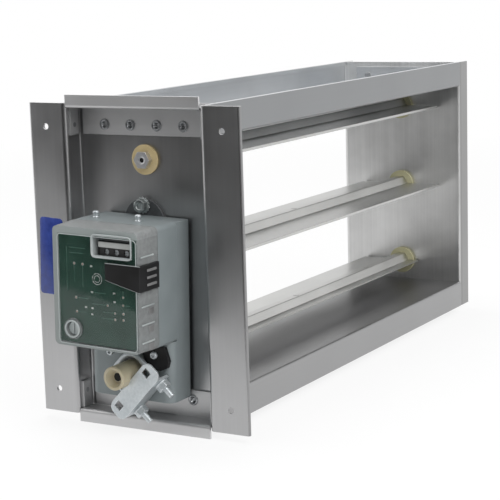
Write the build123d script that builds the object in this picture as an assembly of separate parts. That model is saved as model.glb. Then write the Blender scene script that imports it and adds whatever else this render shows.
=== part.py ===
from build123d import *
import math
import os

# Slide-in duct damper with a motor drive, in millimetres.
# The origin is the middle of the mounting flange's front face, on the middle
# axle's line. +X runs along the axles into the duct, +Y runs with the air
# and +Z is up. The blades stand open.

# Frame
SHEET = 2.0
BEND = 1.5
FRAME_HEIGHT = 254.0
FRAME_LENGTH = 519.7
RECESS_WIDTH = 125.0
RECESS_DEPTH = 19.3
FLANGE_WIDTH = 35.5
FLANGE_HEM = 4.0
CHANNEL_DEPTH = 25.0
CHANNEL_HEM = 4.0
FAR_FLANGE = 18.9
LAP_START = 4.5
END_TAB_WIDTH = 100.0
END_TAB_HEIGHT = 18.0
SCREW_HOLE_R = 2.5
SCREW_SPACING_Y = 164.0
SCREW_SPACING_Z = 216.0

# End caps of the recess
CAP_RISE = 6.6
CAP_PLATE_DROP = 2.0
CAP_TAB = 24.0
CAP_CORNER_GAP = 4.5
CAP_SIDE_GAP = 0.3
CLINCH_SPACING = 24.6
CLINCH_HEAD_R = 4.5
CLINCH_HEAD = 0.9
CLINCH_SHANK_R = 2.4
CLINCH_DROP = 18.0
RIVET_HEAD_R = 3.6
RIVET_SHANK_R = 2.0
RIVET_HEAD = 1.2

# Blades and axles
AXLE_EDGE = 45.0
BLADE_SHEET = 1.2
BLADE_LAP = 2.0
BLADE_END_GAP = 1.2
TIP_HEM = 6.0
AXLE_FLATS = 12.7
AXLE_OVERHANG = 4.7
AXLE_SOCKET_R = 3.0
AXLE_SOCKET_DEPTH = 6.0
BLADE_RIVET_R = 2.6
BLADE_RIVET_HEAD = 1.2
BLADE_RIVET_SPACING = 150.0

# Nylon bushes: they turn with the axle in round holes of the webs
BUSH_R = 8.0
RUNNING_GAP = 0.08
SIDE_GAP = 0.3
NEAR_BUSH_FLANGE_R = 12.0
NEAR_BUSH_FLANGE = 1.8
FAR_BUSH_FLANGE_R = 13.5
FAR_BUSH_FLANGE = 3.5
BUSH_SNAP_R = 9.2
NEAR_BUSH_SNAP = 2.2
FAR_BUSH_SNAP = 1.5

# Cranks and tie bar in the far jamb's channel
CRANK_RADIUS = 15.0
CRANK_ANGLE = -43.0
CRANK_SHEET = 3.0
CRANK_HUB_R = 11.0
CRANK_EYE_R = 5.5
TIE_PIN_R = 2.5
TIE_BAR_WIDTH = 12.0
TIE_BAR_SHEET = 2.5
TIE_PIN_HEAD_R = 4.2
TIE_PIN_HEAD = 1.5
OPEN_PIVOT_GAP = 0.2

# Actuator shells: the base ends below the top axle, lower heights are measured from the drive axle
LEAN = 1.6
BODY_SHIFT = 3.2
BODY_HALF_WIDTH = 39.8
BASE_INSET = 0.9
TOP_AXLE_CLEAR = 44.0
BASE_BOTTOM = -23.0
BODY_BOTTOM = 26.0
BASE_SEAM_X = -2.0
DOME_X = -10.0
BODY_FRONT_X = -28.5
COVER_FRONT_X = -55.0
COVER_DRAFT = 0.8
SHELL = 2.0
COVER_WALL = 1.6
SHELL_CORNER = 4.0
DOME_CORNER = 8.0
LUG_X = -14.0
LUG_Y = (-12.5, 27.0)
LUG_R = 1.8
LUG_RISE = 4.5

# Actuator electrics: drops are measured from the body's top, rises from its bottom
BOARD_X = -53.1
BOARD_SHEET = 1.6
BOARD_EDGE_GAP = 1.5
POST_R = 3.0
POST_EDGE = 8.0
POST_INSET = 10.0
MIDDLE_POST_DROP = 43.6
WINDOW_EDGE = 6.5
WINDOW_WIDTH = 35.1
WINDOW_DROP = 5.0
WINDOW_HEIGHT = 16.6
WINDOW_CORNER = 3.0
TERMINAL_DEPTH = 12.0
TERMINAL_LIP = 1.5
TERMINAL_END_GAP = 4.0
TERMINAL_TOP_GAP = 5.0
TERMINAL_LEDGE = 7.0
TERMINAL_PITCH = 9.0
TERMINAL_SCREW_R = 2.2
TERMINAL_SCREW_RISE = 3.6
TERMINAL_SCREW_LENGTH = 2.0
TERMINAL_SCREW_SLOT = 0.8
BOOT_OVERHANG = 1.6
BOOT_WIDTH = 31.1
BOOT_DROP = 26.0
BOOT_OUTER_HEIGHT = 19.9
BOOT_INNER_HEIGHT = 12.8
BOOT_FRONT_X = -56.5
BOOT_BACK_X = -29.5
BOOT_RIB_PITCH = 5.5
BOOT_RIB_WIDTH = 2.0
BOOT_RIB_RISE = 0.8
BOOT_RIB_ENDS = (9.0, 5.0)
BOOT_RIB_DROP = 4.1
TRANSFORMER_SIZE = (16.0, 20.0, 22.0)
TRANSFORMER_GAP = 3.4
TRANSFORMER_DROP = 14.6
RELAY_SIZE = (10.0, 18.0, 14.0)
RELAY_INNER = 6.0
RELAY_RISE = 6.0
CAN_R = 4.0
CAN_LENGTH = 12.0
CAN_SPACING = 10.0
CAN_RISE = 10.0
COVER_SCREW_EDGE = 18.0
COVER_SCREW_RISE = 14.6
COVER_SCREW_R = 2.0
COVER_SCREW_HEAD = 4.0
COVER_SCREW_SLOT = 1.2
COVER_SCREW_PLAY = 0.6
COVER_POST_R = 4.0
COVER_BOSS_R = 8.0
COVER_BOSS_BORE_R = 5.6
COVER_BOSS_BACK_X = -47.0

# Gear train
MODULE = 1.0
OUTPUT_TEETH = 36
IDLER_SMALL_TEETH = 12
IDLER_BIG_TEETH = 28
PINION_TEETH = 10
SLOW_MESH_X = (1.5, 7.5)
FAST_MESH_X = (8.6, 12.6)
IDLER_PIN_R = 2.0
MOTOR_SHAFT_R = 1.5
MOTOR_R = 14.0
MOTOR_FRONT_X = -22.0

# Drive hub and clamp
HUB_R = 9.5
HUB_FRONT_X = -38.8
HUB_DISH_R = (7.4, 4.2)
HUB_DISH = 6.4
HUB_BORE_R = 2.3
AXLE_IN_HUB_X = -20.0
SLEEVE_R = 11.5
SLEEVE_FRONT_X = -11.5
CLAMP_TILT = 43.0
U_BOLT_X = -16.5
U_BOLT_R = 2.2
U_BOLT_REACH = 39.0
U_BOLT_CORNER = 11.0
LEG_OFFSET = 15.6
YOKE_SHEET = 2.0
YOKE_FRONT_X = -29.0
YOKE_EDGE = 8.3
YOKE_WIDTH = 17.0
YOKE_LENGTH = 55.0
YOKE_CORNER = 6.0
YOKE_WEB_LENGTH = 44.0
YOKE_WEB_BACK_X = -12.0
YOKE_WINDOW = 6.4
YOKE_WINDOW_EDGE = 6.2
YOKE_WINDOW_SPACING = 39.2
NUT_FLATS = 9.5
NUT_HEIGHT = 4.5
NUT_WASHER_R = 5.8
NUT_WASHER = 1.2

# Stops, tab and small screws: stops are placed from the drive axle
STOP_OUTLINE = ((-9, 22), (-31, 23), (-35, 12), (-33.5, 6.5), (-27, 3.5), (-22, 4), (-15.5, 7), (-11.5, 13))
STOP_SCREW_Y = -21.7
STOP_SCREW_Z = 15.8
STOP_HEIGHT = 3.4
STOP_SCREW_R = 3.0
STOP_SCREW_HEAD = 2.4
SECOND_STOP_Y = 17.0
SECOND_STOP_Z = 15.0
TAB_R = 18.6
TAB_Y = 2.2
TAB_RISE = 13.0
TAB_SCREW_RISE = 8.0
TAB_WASHER_R = 5.0
TAB_WASHER = 1.2
TAB_SCREW_FLATS = 8.0
TAB_SCREW_HEAD = 4.8
TAB_SCREW_END = 2.0

half_height = FRAME_HEIGHT / 2
wall_in = RECESS_WIDTH / 2
wall_out = wall_in + SHEET
side_out = wall_out + SHEET
flange_out = wall_in + FLANGE_WIDTH
web_front = RECESS_DEPTH
web_back = RECESS_DEPTH + SHEET
base_back = web_front - SHEET - CLINCH_HEAD
far_front = FRAME_LENGTH - FAR_FLANGE
far_back = far_front + SHEET
head_under = half_height - CHANNEL_DEPTH
head_over = head_under + SHEET
cap_plate_top = half_height - CAP_PLATE_DROP
cap_tab_end = cap_plate_top - CAP_TAB
clinch_z = half_height - CLINCH_DROP
bush_hole_r = BUSH_R + RUNNING_GAP
axle_corner_r = AXLE_FLATS / math.sqrt(3)
blade_pitch = half_height - AXLE_EDGE
long_wing = blade_pitch / 2 + BLADE_LAP
short_wing = AXLE_EDGE - CHANNEL_DEPTH - BLADE_END_GAP
axle_z = {"bottom": -blade_pitch, "middle": 0.0, "top": blade_pitch}
wings = {
    "bottom": (short_wing, long_wing),
    "middle": (long_wing, long_wing),
    "top": (long_wing, short_wing),
}
near_bush_front = web_front - SIDE_GAP - NEAR_BUSH_FLANGE
near_bush_back = web_back + SIDE_GAP + NEAR_BUSH_SNAP
far_bush_front = far_front - SIDE_GAP - FAR_BUSH_FLANGE
far_bush_back = far_back + SIDE_GAP + FAR_BUSH_SNAP
crank_back = far_bush_back + CRANK_SHEET
tie_bar_front = crank_back + SIDE_GAP
tie_bar_back = tie_bar_front + TIE_BAR_SHEET
drive_z = -blade_pitch
base_half_width = BODY_HALF_WIDTH - BASE_INSET
base_top = axle_z["top"] - TOP_AXLE_CLEAR
base_bottom = drive_z + BASE_BOTTOM
body_top = base_top + BASE_INSET
body_bottom = drive_z + BODY_BOTTOM
board_back = BOARD_X + BOARD_SHEET
window_y = (WINDOW_EDGE - BODY_HALF_WIDTH, WINDOW_EDGE - BODY_HALF_WIDTH + WINDOW_WIDTH)
window_z = (body_top - WINDOW_DROP - WINDOW_HEIGHT, body_top - WINDOW_DROP)
terminal_end = window_y[1] - TERMINAL_END_GAP
boot_y = (-BODY_HALF_WIDTH - BOOT_OVERHANG, BOOT_WIDTH - BODY_HALF_WIDTH - BOOT_OVERHANG)
cover_screw_y = BODY_HALF_WIDTH - COVER_SCREW_EDGE
boot_top = body_top - BOOT_DROP
cover_screw_z = body_bottom + COVER_SCREW_RISE
tab_screw_z = base_top + TAB_SCREW_RISE
idler_z = drive_z + MODULE * (OUTPUT_TEETH + IDLER_SMALL_TEETH) / 2
pinion_z = idler_z + MODULE * (IDLER_BIG_TEETH + PINION_TEETH) / 2


def box(x, y, z):
    """Block between two limits along each axis."""
    center = Pos((x[0] + x[1]) / 2, (y[0] + y[1]) / 2, (z[0] + z[1]) / 2)
    return center * Box(x[1] - x[0], y[1] - y[0], z[1] - z[0])


def rod_x(radius, x, y=0.0, z=0.0):
    """Round bar along X."""
    return Pos((x[0] + x[1]) / 2, y, z) * Rot(0, 90, 0) * Cylinder(radius, x[1] - x[0])


def rod_y(radius, x, y, z):
    """Round bar along Y."""
    return Pos(x, (y[0] + y[1]) / 2, z) * Rot(90, 0, 0) * Cylinder(radius, y[1] - y[0])


def along_x(profile, x):
    """Cross-section drawn as (Y, Z), run along X."""
    return extrude(Pos(x[0], 0, 0) * (Plane.YZ * profile), amount=x[1] - x[0], dir=(1, 0, 0))


def hex_x(flats, x, y=0.0, z=0.0):
    """Hexagonal bar along X with flats above and below."""
    return along_x(Pos(y, z) * RegularPolygon(flats / math.sqrt(3), 6), x)


def rounded_block(x, y, z, corner):
    """Block whose four edges along X are rounded."""
    profile = RectangleRounded(y[1] - y[0], z[1] - z[0], corner)
    return along_x(Pos((y[0] + y[1]) / 2, (z[0] + z[1]) / 2) * profile, x)


def folded(points, sheet, bend):
    """Cross-section of a sheet folded along its mid-line, with round bends."""
    stations = [Vector(*point) for point in points]
    last = len(stations) - 1
    left = []
    right = []
    insides = []
    outsides = []
    for i, station in enumerate(stations):
        come = (stations[max(i, 1)] - stations[max(i, 1) - 1]).normalized()
        leave = (stations[min(i, last - 1) + 1] - stations[min(i, last - 1)]).normalized()
        mitre = Vector(-come.Y - leave.Y, come.X + leave.X)
        shift = mitre * (sheet / mitre.dot(mitre))
        left.append(station + shift)
        right.append(station - shift)
        turn = come.X * leave.Y - come.Y * leave.X
        if turn > 1e-6:
            insides.append(left[-1])
            outsides.append(right[-1])
        if turn < -1e-6:
            insides.append(right[-1])
            outsides.append(left[-1])
    face = make_face(Polyline(*left, *reversed(right), close=True))
    for corners, radius in ((insides, bend), (outsides, bend + sheet)):
        if radius > 0:
            picked = [v for v in face.vertices() if min((Vector(*v) - c).length for c in corners) < 1e-4]
            face = fillet(picked, radius)
    return face


def gear(teeth, first_angle):
    """Slim-toothed spur gear outline with one tooth centred on first_angle."""
    pitch_r = MODULE * teeth / 2
    root_r = pitch_r - 1.2 * MODULE
    tip_r = pitch_r + 0.85 * MODULE
    root_half = 0.86 * MODULE / root_r
    tip_half = 0.30 * MODULE / tip_r
    corners = ((root_r, -root_half), (tip_r, -tip_half), (tip_r, tip_half), (root_r, root_half))
    points = []
    for tooth in range(teeth):
        middle = math.radians(first_angle) + 2 * math.pi * tooth / teeth
        for radius, offset in corners:
            angle = middle + offset
            points.append((radius * math.cos(angle), radius * math.sin(angle)))
    return make_face(Polyline(*points, close=True))


def near_jamb():
    """Hat section: mounting flanges, recess walls and the web with the axle holes."""
    flange_mid = SHEET / 2
    wall_mid = wall_in + SHEET / 2
    web_mid = web_front + SHEET / 2
    line = [
        (flange_mid, flange_out),
        (flange_mid, wall_mid),
        (web_mid, wall_mid),
        (web_mid, -wall_mid),
        (flange_mid, -wall_mid),
        (flange_mid, -flange_out),
    ]
    jamb = extrude(Pos(0, 0, -half_height) * folded(line, SHEET, BEND), amount=FRAME_HEIGHT, dir=(0, 0, 1))
    for side in (-1, 1):
        hem_y = sorted((side * (flange_out - FLANGE_HEM), side * flange_out))
        jamb += box((SHEET, 2 * SHEET), hem_y, (-half_height, half_height))
        for end in (-1, 1):
            hole_y = side * SCREW_SPACING_Y / 2
            jamb -= rod_x(SCREW_HOLE_R, (-1, SHEET + 1), hole_y, end * SCREW_SPACING_Z / 2)
    for z in axle_z.values():
        jamb -= rod_x(bush_hole_r, (web_front - 1, web_back + 1), 0, z)
    rims = jamb.edges().filter_by(Axis.Z).filter_by(lambda e: abs(abs(e.center().Y) - flange_out) < 1e-6)
    return fillet(rims, 0.9 * SHEET)


def end_cap():
    """Top cap: strip above the flanges, plate over the recess, tab on the web and tabs on the walls."""
    plate_mid = cap_plate_top - SHEET / 2
    tab_mid = web_front - SHEET / 2
    line = [
        (SHEET / 2, half_height + CAP_RISE),
        (SHEET / 2, plate_mid),
        (tab_mid, plate_mid),
        (tab_mid, cap_tab_end),
    ]
    width = 2 * (wall_in - CAP_SIDE_GAP)
    profile = Pos(0, -width / 2, 0) * (Plane.XZ * folded(line, SHEET, BEND / 2))
    cap = extrude(profile, amount=width, dir=(0, 1, 0))
    for side in (-1, 1):
        corner = sorted((side * (wall_in - CAP_CORNER_GAP), side * wall_in))
        cap -= box((web_front - SHEET - 1, web_front + 1), corner, (cap_tab_end - 1, half_height))
        tab = sorted((side * (wall_in - SHEET), side * wall_in))
        cap += box((LAP_START, web_front - CAP_CORNER_GAP), tab, (cap_tab_end, plate_mid))
    return cap


def head_channel():
    """Top channel, open upwards, with end tabs and ears that lap over the near jamb's walls."""
    flange_mid = wall_out + SHEET / 2
    line = [
        (-flange_mid, half_height),
        (-flange_mid, head_under + SHEET / 2),
        (flange_mid, head_under + SHEET / 2),
        (flange_mid, half_height),
    ]
    channel = along_x(folded(line, SHEET, BEND), (web_back, far_front))
    tab_y = (-END_TAB_WIDTH / 2, END_TAB_WIDTH / 2)
    tab_z = (head_under + SHEET / 2, head_over + END_TAB_HEIGHT)
    channel += box((web_back, web_back + SHEET), tab_y, tab_z)
    channel += box((far_front - SHEET, far_front), tab_y, tab_z)
    for side in (-1, 1):
        ear_y = sorted((side * wall_out, side * side_out))
        channel += box((LAP_START, web_back), ear_y, (head_under + SHEET + BEND, half_height))
        hem_y = sorted((side * (wall_out - SHEET), side * wall_out))
        hem_z = (half_height - CHANNEL_HEM, half_height)
        channel += box((web_back + SHEET, far_front - SHEET), hem_y, hem_z)
    return channel


def far_jamb():
    """Far channel, open outwards, with the far axle holes."""
    flange_mid = wall_out + SHEET / 2
    line = [
        (FRAME_LENGTH, -flange_mid),
        (far_front + SHEET / 2, -flange_mid),
        (far_front + SHEET / 2, flange_mid),
        (FRAME_LENGTH, flange_mid),
    ]
    jamb = extrude(Pos(0, 0, -half_height) * folded(line, SHEET, BEND), amount=FRAME_HEIGHT, dir=(0, 0, 1))
    for z in axle_z.values():
        jamb -= rod_x(bush_hole_r, (far_front - 1, far_back + 1), 0, z)
    return jamb


def clinch_places():
    """Y and Z of the clinch joints of both end caps."""
    return [(k * CLINCH_SPACING / 2, end * clinch_z) for k in (-3, -1, 1, 3) for end in (-1, 1)]


def far_rivet_places():
    """Y and Z of the rivets in the far web."""
    z = head_over + END_TAB_HEIGHT / 2
    return [(k * CLINCH_SPACING / 2, end * z) for k in (-3, 3) for end in (-1, 1)]


def ear_rivet_places():
    """X, side and Z of the rivets through the lapped walls."""
    x = (LAP_START + web_front - CAP_CORNER_GAP) / 2
    return [(x, side, end * clinch_z) for side in (-1, 1) for end in (-1, 1)]


def drill_frame(sheets):
    """Rivet holes through a frame sheet, all at their shanks' size."""
    for y, z in clinch_places():
        sheets -= rod_x(CLINCH_SHANK_R, (web_front - SHEET - 1, web_back + SHEET + 1), y, z)
    for y, z in far_rivet_places():
        sheets -= rod_x(RIVET_SHANK_R, (far_front - SHEET - 1, far_back + 1), y, z)
    for x, side, z in ear_rivet_places():
        span = sorted((side * (wall_in - SHEET - 1), side * (side_out + 1)))
        sheets -= rod_y(RIVET_SHANK_R, x, span, z)
    return sheets


def frame_rivets():
    """Clinch joints at the near web, rivets at the far web and flush-ended rivets at the ears."""
    rivets = []
    for y, z in clinch_places():
        front = web_front - SHEET
        back = web_back + SHEET
        rivet = rod_x(CLINCH_SHANK_R, (front, back), y, z)
        rivet += rod_x(CLINCH_HEAD_R, (front - CLINCH_HEAD, front), y, z)
        rivet += rod_x(RIVET_HEAD_R, (back, back + RIVET_HEAD), y, z)
        rivets.append(rivet)
    for y, z in far_rivet_places():
        rivet = rod_x(RIVET_SHANK_R, (far_front - SHEET, far_back), y, z)
        rivet += rod_x(RIVET_HEAD_R, (far_back, far_back + RIVET_HEAD), y, z)
        rivet += rod_x(RIVET_HEAD_R, (far_front - SHEET - RIVET_HEAD, far_front - SHEET), y, z)
        rivets.append(rivet)
    for x, side, z in ear_rivet_places():
        inner = wall_in - SHEET
        rivet = rod_y(RIVET_SHANK_R, x, sorted((side * inner, side * side_out)), z)
        rivet += rod_y(RIVET_HEAD_R, x, sorted((side * side_out, side * (side_out + RIVET_HEAD))), z)
        rivets.append(rivet)
    return rivets


def blade(which):
    """Folded blade: two wings, a half-hexagon bead over the axle and hemmed tips."""
    front, rear = wings[which]
    slope = math.sqrt(3)
    bead_foot = axle_corner_r + BLADE_SHEET / 2 / math.cos(math.radians(30))
    bead_top = AXLE_FLATS / 2 + BLADE_SHEET / 2
    bead_shoulder = bead_foot - bead_top / slope
    line = [
        (-front, 0),
        (-bead_foot, 0),
        (-bead_shoulder, bead_top),
        (bead_shoulder, bead_top),
        (bead_foot, 0),
        (rear, 0),
    ]
    sheet = along_x(Pos(0, axle_z[which]) * folded(line, BLADE_SHEET, 0), (near_bush_back, far_bush_front))
    low = axle_z[which] - BLADE_SHEET / 2
    for tip, side in ((front, -1), (rear, 1)):
        if tip == long_wing:
            hem_y = sorted((side * (tip - TIP_HEM), side * tip))
            sheet += box((near_bush_back, far_bush_front), hem_y, (low - BLADE_SHEET, low))
    for x in blade_rivet_x():
        top = axle_z[which] + AXLE_FLATS / 2 + BLADE_SHEET
        sheet -= Pos(x, 0, top) * Cylinder(BLADE_RIVET_R / 2, 4 * BLADE_SHEET)
    return sheet


def blade_rivet_x():
    """X of the rivets that hold a blade on its axle."""
    middle = (near_bush_back + far_bush_front) / 2
    return [middle + k * BLADE_RIVET_SPACING for k in (-1, 0, 1)]


def blade_rivets(which):
    """Rivets through the bead into the axle."""
    flat = axle_z[which] + AXLE_FLATS / 2
    top = flat + BLADE_SHEET
    rivets = []
    for x in blade_rivet_x():
        rivet = Pos(x, 0, (flat + top) / 2) * Cylinder(BLADE_RIVET_R / 2, BLADE_SHEET)
        rivet += Pos(x, 0, top + BLADE_RIVET_HEAD / 2) * Cylinder(BLADE_RIVET_R, BLADE_RIVET_HEAD)
        rivets.append(rivet)
    return rivets


def axle(which):
    """Hex bar from the near end to the crank; the bottom one reaches into the drive hub."""
    if which == "bottom":
        return hex_x(AXLE_FLATS, (AXLE_IN_HUB_X, crank_back), 0, drive_z)
    start = near_bush_front - AXLE_OVERHANG
    bar = hex_x(AXLE_FLATS, (start, crank_back), 0, axle_z[which])
    return bar - rod_x(AXLE_SOCKET_R, (start - 1, start + AXLE_SOCKET_DEPTH), 0, axle_z[which])


def near_bush(which):
    """Flanged nylon bush in the near web, with a snap ring behind the web."""
    z = axle_z[which]
    flange_back = web_front - SIDE_GAP
    snap_front = web_back + SIDE_GAP
    bush = rod_x(NEAR_BUSH_FLANGE_R, (near_bush_front, flange_back), 0, z)
    bush += rod_x(BUSH_R, (flange_back, snap_front), 0, z)
    bush += rod_x(BUSH_SNAP_R, (snap_front, near_bush_back), 0, z)
    return bush - hex_x(AXLE_FLATS, (near_bush_front - 1, near_bush_back + 1), 0, z)


def far_bush(which):
    """Flanged nylon bush in the far web, with its flange on the air side."""
    z = axle_z[which]
    flange_back = far_front - SIDE_GAP
    snap_front = far_back + SIDE_GAP
    bush = rod_x(FAR_BUSH_FLANGE_R, (far_bush_front, flange_back), 0, z)
    bush += rod_x(BUSH_R, (flange_back, snap_front), 0, z)
    bush += rod_x(BUSH_SNAP_R, (snap_front, far_bush_back), 0, z)
    return bush - hex_x(AXLE_FLATS, (far_bush_front - 1, far_bush_back + 1), 0, z)


def tie_pin_place(which):
    """Y and Z of a crank's pin with the blades open."""
    angle = math.radians(CRANK_ANGLE)
    return CRANK_RADIUS * math.cos(angle), axle_z[which] + CRANK_RADIUS * math.sin(angle)


def crank(which):
    """Crank arm on the axle's far end with a headed pin for the tie bar."""
    pin_y, pin_z = tie_pin_place(which)
    hub = Pos(0, axle_z[which]) * Circle(CRANK_HUB_R)
    eye = Pos(pin_y, pin_z) * Circle(CRANK_EYE_R)
    outline = make_hull(hub.edges() + eye.edges())
    arm = along_x(outline, (far_bush_back, crank_back))
    arm -= hex_x(AXLE_FLATS, (far_bush_back - 1, crank_back + 1), 0, axle_z[which])
    head_front = tie_bar_back + SIDE_GAP
    arm += rod_x(TIE_PIN_R, (crank_back, head_front), pin_y, pin_z)
    return arm + rod_x(TIE_PIN_HEAD_R, (head_front, head_front + TIE_PIN_HEAD), pin_y, pin_z)


def tie_bar():
    """Flat bar that joins the three crank pins."""
    low_y, low_z = tie_pin_place("bottom")
    top_z = tie_pin_place("top")[1]
    outline = SlotCenterToCenter(top_z - low_z, TIE_BAR_WIDTH, rotation=90)
    bar = along_x(Pos(low_y, (low_z + top_z) / 2) * outline, (tie_bar_front, tie_bar_back))
    for which, gap in (("bottom", RUNNING_GAP), ("middle", OPEN_PIVOT_GAP), ("top", OPEN_PIVOT_GAP)):
        pin_y, pin_z = tie_pin_place(which)
        bar -= rod_x(TIE_PIN_R + gap, (tie_bar_front - 1, tie_bar_back + 1), pin_y, pin_z)
    return bar


def seated(shape, shift=0.0):
    """Shape, or list of shapes, moved across and leaned around the drive axle as the actuator sits."""
    place = Pos(0, 0, drive_z) * Rot(LEAN, 0, 0) * Pos(0, shift, -drive_z)
    return [place * item for item in shape] if isinstance(shape, list) else place * shape


def actuator_base():
    """Gear housing on the near web: a tray with a dome around the drive hub."""
    half = base_half_width
    inner = half - SHELL
    dome = box((DOME_X, base_back), (-half, half), (base_bottom, body_bottom))
    front_edges = dome.edges().filter_by(Axis.Z).group_by(Axis.X)[0]
    dome = fillet(front_edges, DOME_CORNER)
    tray = box((BASE_SEAM_X, base_back), (-half, half), (base_bottom, base_top))
    room_z = (base_bottom + SHELL, body_bottom - SHELL)
    room = box((DOME_X + SHELL, base_back - SHELL), (-inner, inner), room_z)
    room = fillet(room.edges().filter_by(Axis.Z).group_by(Axis.X)[0], DOME_CORNER - SHELL)
    upper = box((BASE_SEAM_X - 1, base_back - SHELL), (-inner, inner), (body_bottom, base_top - SHELL))
    link = box((BASE_SEAM_X, base_back - SHELL), (-inner, inner), (body_bottom - 2 * SHELL, body_bottom))
    base = seated(dome + tray - room - upper - link, BODY_SHIFT)
    base -= rod_x(SLEEVE_R + RUNNING_GAP, (DOME_X - 1, DOME_X + SHELL + 1), 0, drive_z)
    bush_clear_r = NEAR_BUSH_FLANGE_R + 2 * SIDE_GAP
    for which in ("bottom", "middle"):
        base -= rod_x(bush_clear_r, (base_back - SHELL - 1, base_back + 1), 0, axle_z[which])
    return base


def actuator_body():
    """Motor housing between base and cover, with posts for the circuit board and two studs on top."""
    half = BODY_HALF_WIDTH
    inner = half - SHELL
    body = rounded_block((BODY_FRONT_X, BASE_SEAM_X), (-half, half), (body_bottom, body_top), SHELL_CORNER)
    floor_x = BASE_SEAM_X - SHELL
    room_z = (body_bottom + SHELL, body_top - SHELL)
    body -= rounded_block((BODY_FRONT_X - 1, floor_x), (-inner, inner), room_z, SHELL_CORNER - SHELL)
    for y, z in board_post_places():
        body += rod_x(POST_R, (board_back, floor_x), y, z)
    body += rod_x(COVER_POST_R, (COVER_BOSS_BACK_X, floor_x), cover_screw_y, cover_screw_z)
    body -= rod_x(COVER_SCREW_R, (COVER_BOSS_BACK_X - 1, BODY_FRONT_X), cover_screw_y, cover_screw_z)
    for y in LUG_Y:
        body += Pos(LUG_X, y, body_top + (LUG_RISE - SHELL) / 2) * Cylinder(LUG_R, LUG_RISE + SHELL)
    shaft_hole = rod_x(MOTOR_SHAFT_R + 3 * SIDE_GAP, (floor_x - 1, BASE_SEAM_X + 1), 0, pinion_z)
    return seated(body, BODY_SHIFT) - seated(shaft_hole)


def board_post_places():
    """Y and Z of the posts that carry the circuit board."""
    reach = BODY_HALF_WIDTH - POST_EDGE
    top = body_top - POST_INSET
    bottom = body_bottom + POST_INSET
    return [(reach, top), (reach, body_top - MIDDLE_POST_DROP), (-reach, bottom)]


def cover_block(inset, x):
    """Tapered cover volume between two X planes, a wall's thickness inside the outer one."""
    half = BODY_HALF_WIDTH - inset
    height = body_top - body_bottom - 2 * inset
    middle = (body_top + body_bottom) / 2
    corner = SHELL_CORNER - inset
    back = RectangleRounded(2 * half, height, corner)
    front = RectangleRounded(2 * (half - COVER_DRAFT), height - 2 * COVER_DRAFT, corner)
    planes = [Pos(x[1], 0, 0) * (Plane.YZ * (Pos(0, middle) * back))]
    planes.append(Pos(x[0], 0, 0) * (Plane.YZ * (Pos(0, middle) * front)))
    return loft(planes)


def boot_outline():
    """Wedge outline of the wire boot as (Y, Z)."""
    points = [
        (boot_y[0], boot_top - BOOT_OUTER_HEIGHT),
        (boot_y[1], boot_top - BOOT_INNER_HEIGHT),
        (boot_y[1], boot_top),
        (boot_y[0], boot_top),
    ]
    return make_face(Polyline(*points, close=True))


def actuator_cover():
    """Clear cover with a terminal window, a notch for the wire boot and a boss for its screw."""
    cover = cover_block(0.0, (COVER_FRONT_X, BODY_FRONT_X))
    cover -= cover_block(COVER_WALL, (COVER_FRONT_X + COVER_WALL, BODY_FRONT_X))
    window = RectangleRounded(window_y[1] - window_y[0], window_z[1] - window_z[0], WINDOW_CORNER)
    window_at = Pos((window_y[0] + window_y[1]) / 2, (window_z[0] + window_z[1]) / 2)
    cover -= along_x(window_at * window, (COVER_FRONT_X - 1, BOARD_X))
    cover -= along_x(boot_outline(), (BOOT_FRONT_X - 1, BOOT_BACK_X))
    cover -= rod_x(COVER_BOSS_BORE_R, (COVER_FRONT_X - 1, BOARD_X), cover_screw_y, cover_screw_z)
    tube = rod_x(COVER_BOSS_R, (COVER_FRONT_X - 1, COVER_BOSS_BACK_X), cover_screw_y, cover_screw_z)
    bore_x = (COVER_FRONT_X - 2, COVER_BOSS_BACK_X - SHELL)
    tube -= rod_x(COVER_BOSS_BORE_R, bore_x, cover_screw_y, cover_screw_z)
    tube -= rod_x(COVER_SCREW_R, (COVER_FRONT_X - 2, COVER_BOSS_BACK_X + 1), cover_screw_y, cover_screw_z)
    return cover + tube


def cover_screw():
    """Slotted screw in the cover's boss."""
    seat = COVER_BOSS_BACK_X - SHELL
    head_front = seat - COVER_SCREW_HEAD
    screw = rod_x(COVER_BOSS_BORE_R - COVER_SCREW_PLAY, (head_front, seat), cover_screw_y, cover_screw_z)
    screw += rod_x(COVER_SCREW_R, (seat, BODY_FRONT_X), cover_screw_y, cover_screw_z)
    slot_y = (cover_screw_y - COVER_SCREW_SLOT / 2, cover_screw_y + COVER_SCREW_SLOT / 2)
    slot_z = (cover_screw_z - COVER_BOSS_BORE_R, cover_screw_z + COVER_BOSS_BORE_R)
    return screw - box((head_front - 1, head_front + COVER_SCREW_SLOT), slot_y, slot_z)


def circuit_board():
    """Board behind the cover, cut out for the terminals, the boot and the screw boss."""
    x = (BOARD_X, board_back)
    edge = COVER_DRAFT + COVER_WALL + BOARD_EDGE_GAP
    half = BODY_HALF_WIDTH - edge
    board = box(x, (-half, half), (body_bottom + edge, body_top - edge))
    board -= box((x[0] - 1, x[1] + 1), window_y, (window_z[0], window_z[1] - SHELL))
    board -= along_x(boot_outline(), (x[0] - 1, x[1] + 1))
    return board - rod_x(COVER_BOSS_R + SIDE_GAP, (x[0] - 1, x[1] + 1), cover_screw_y, cover_screw_z)


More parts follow.
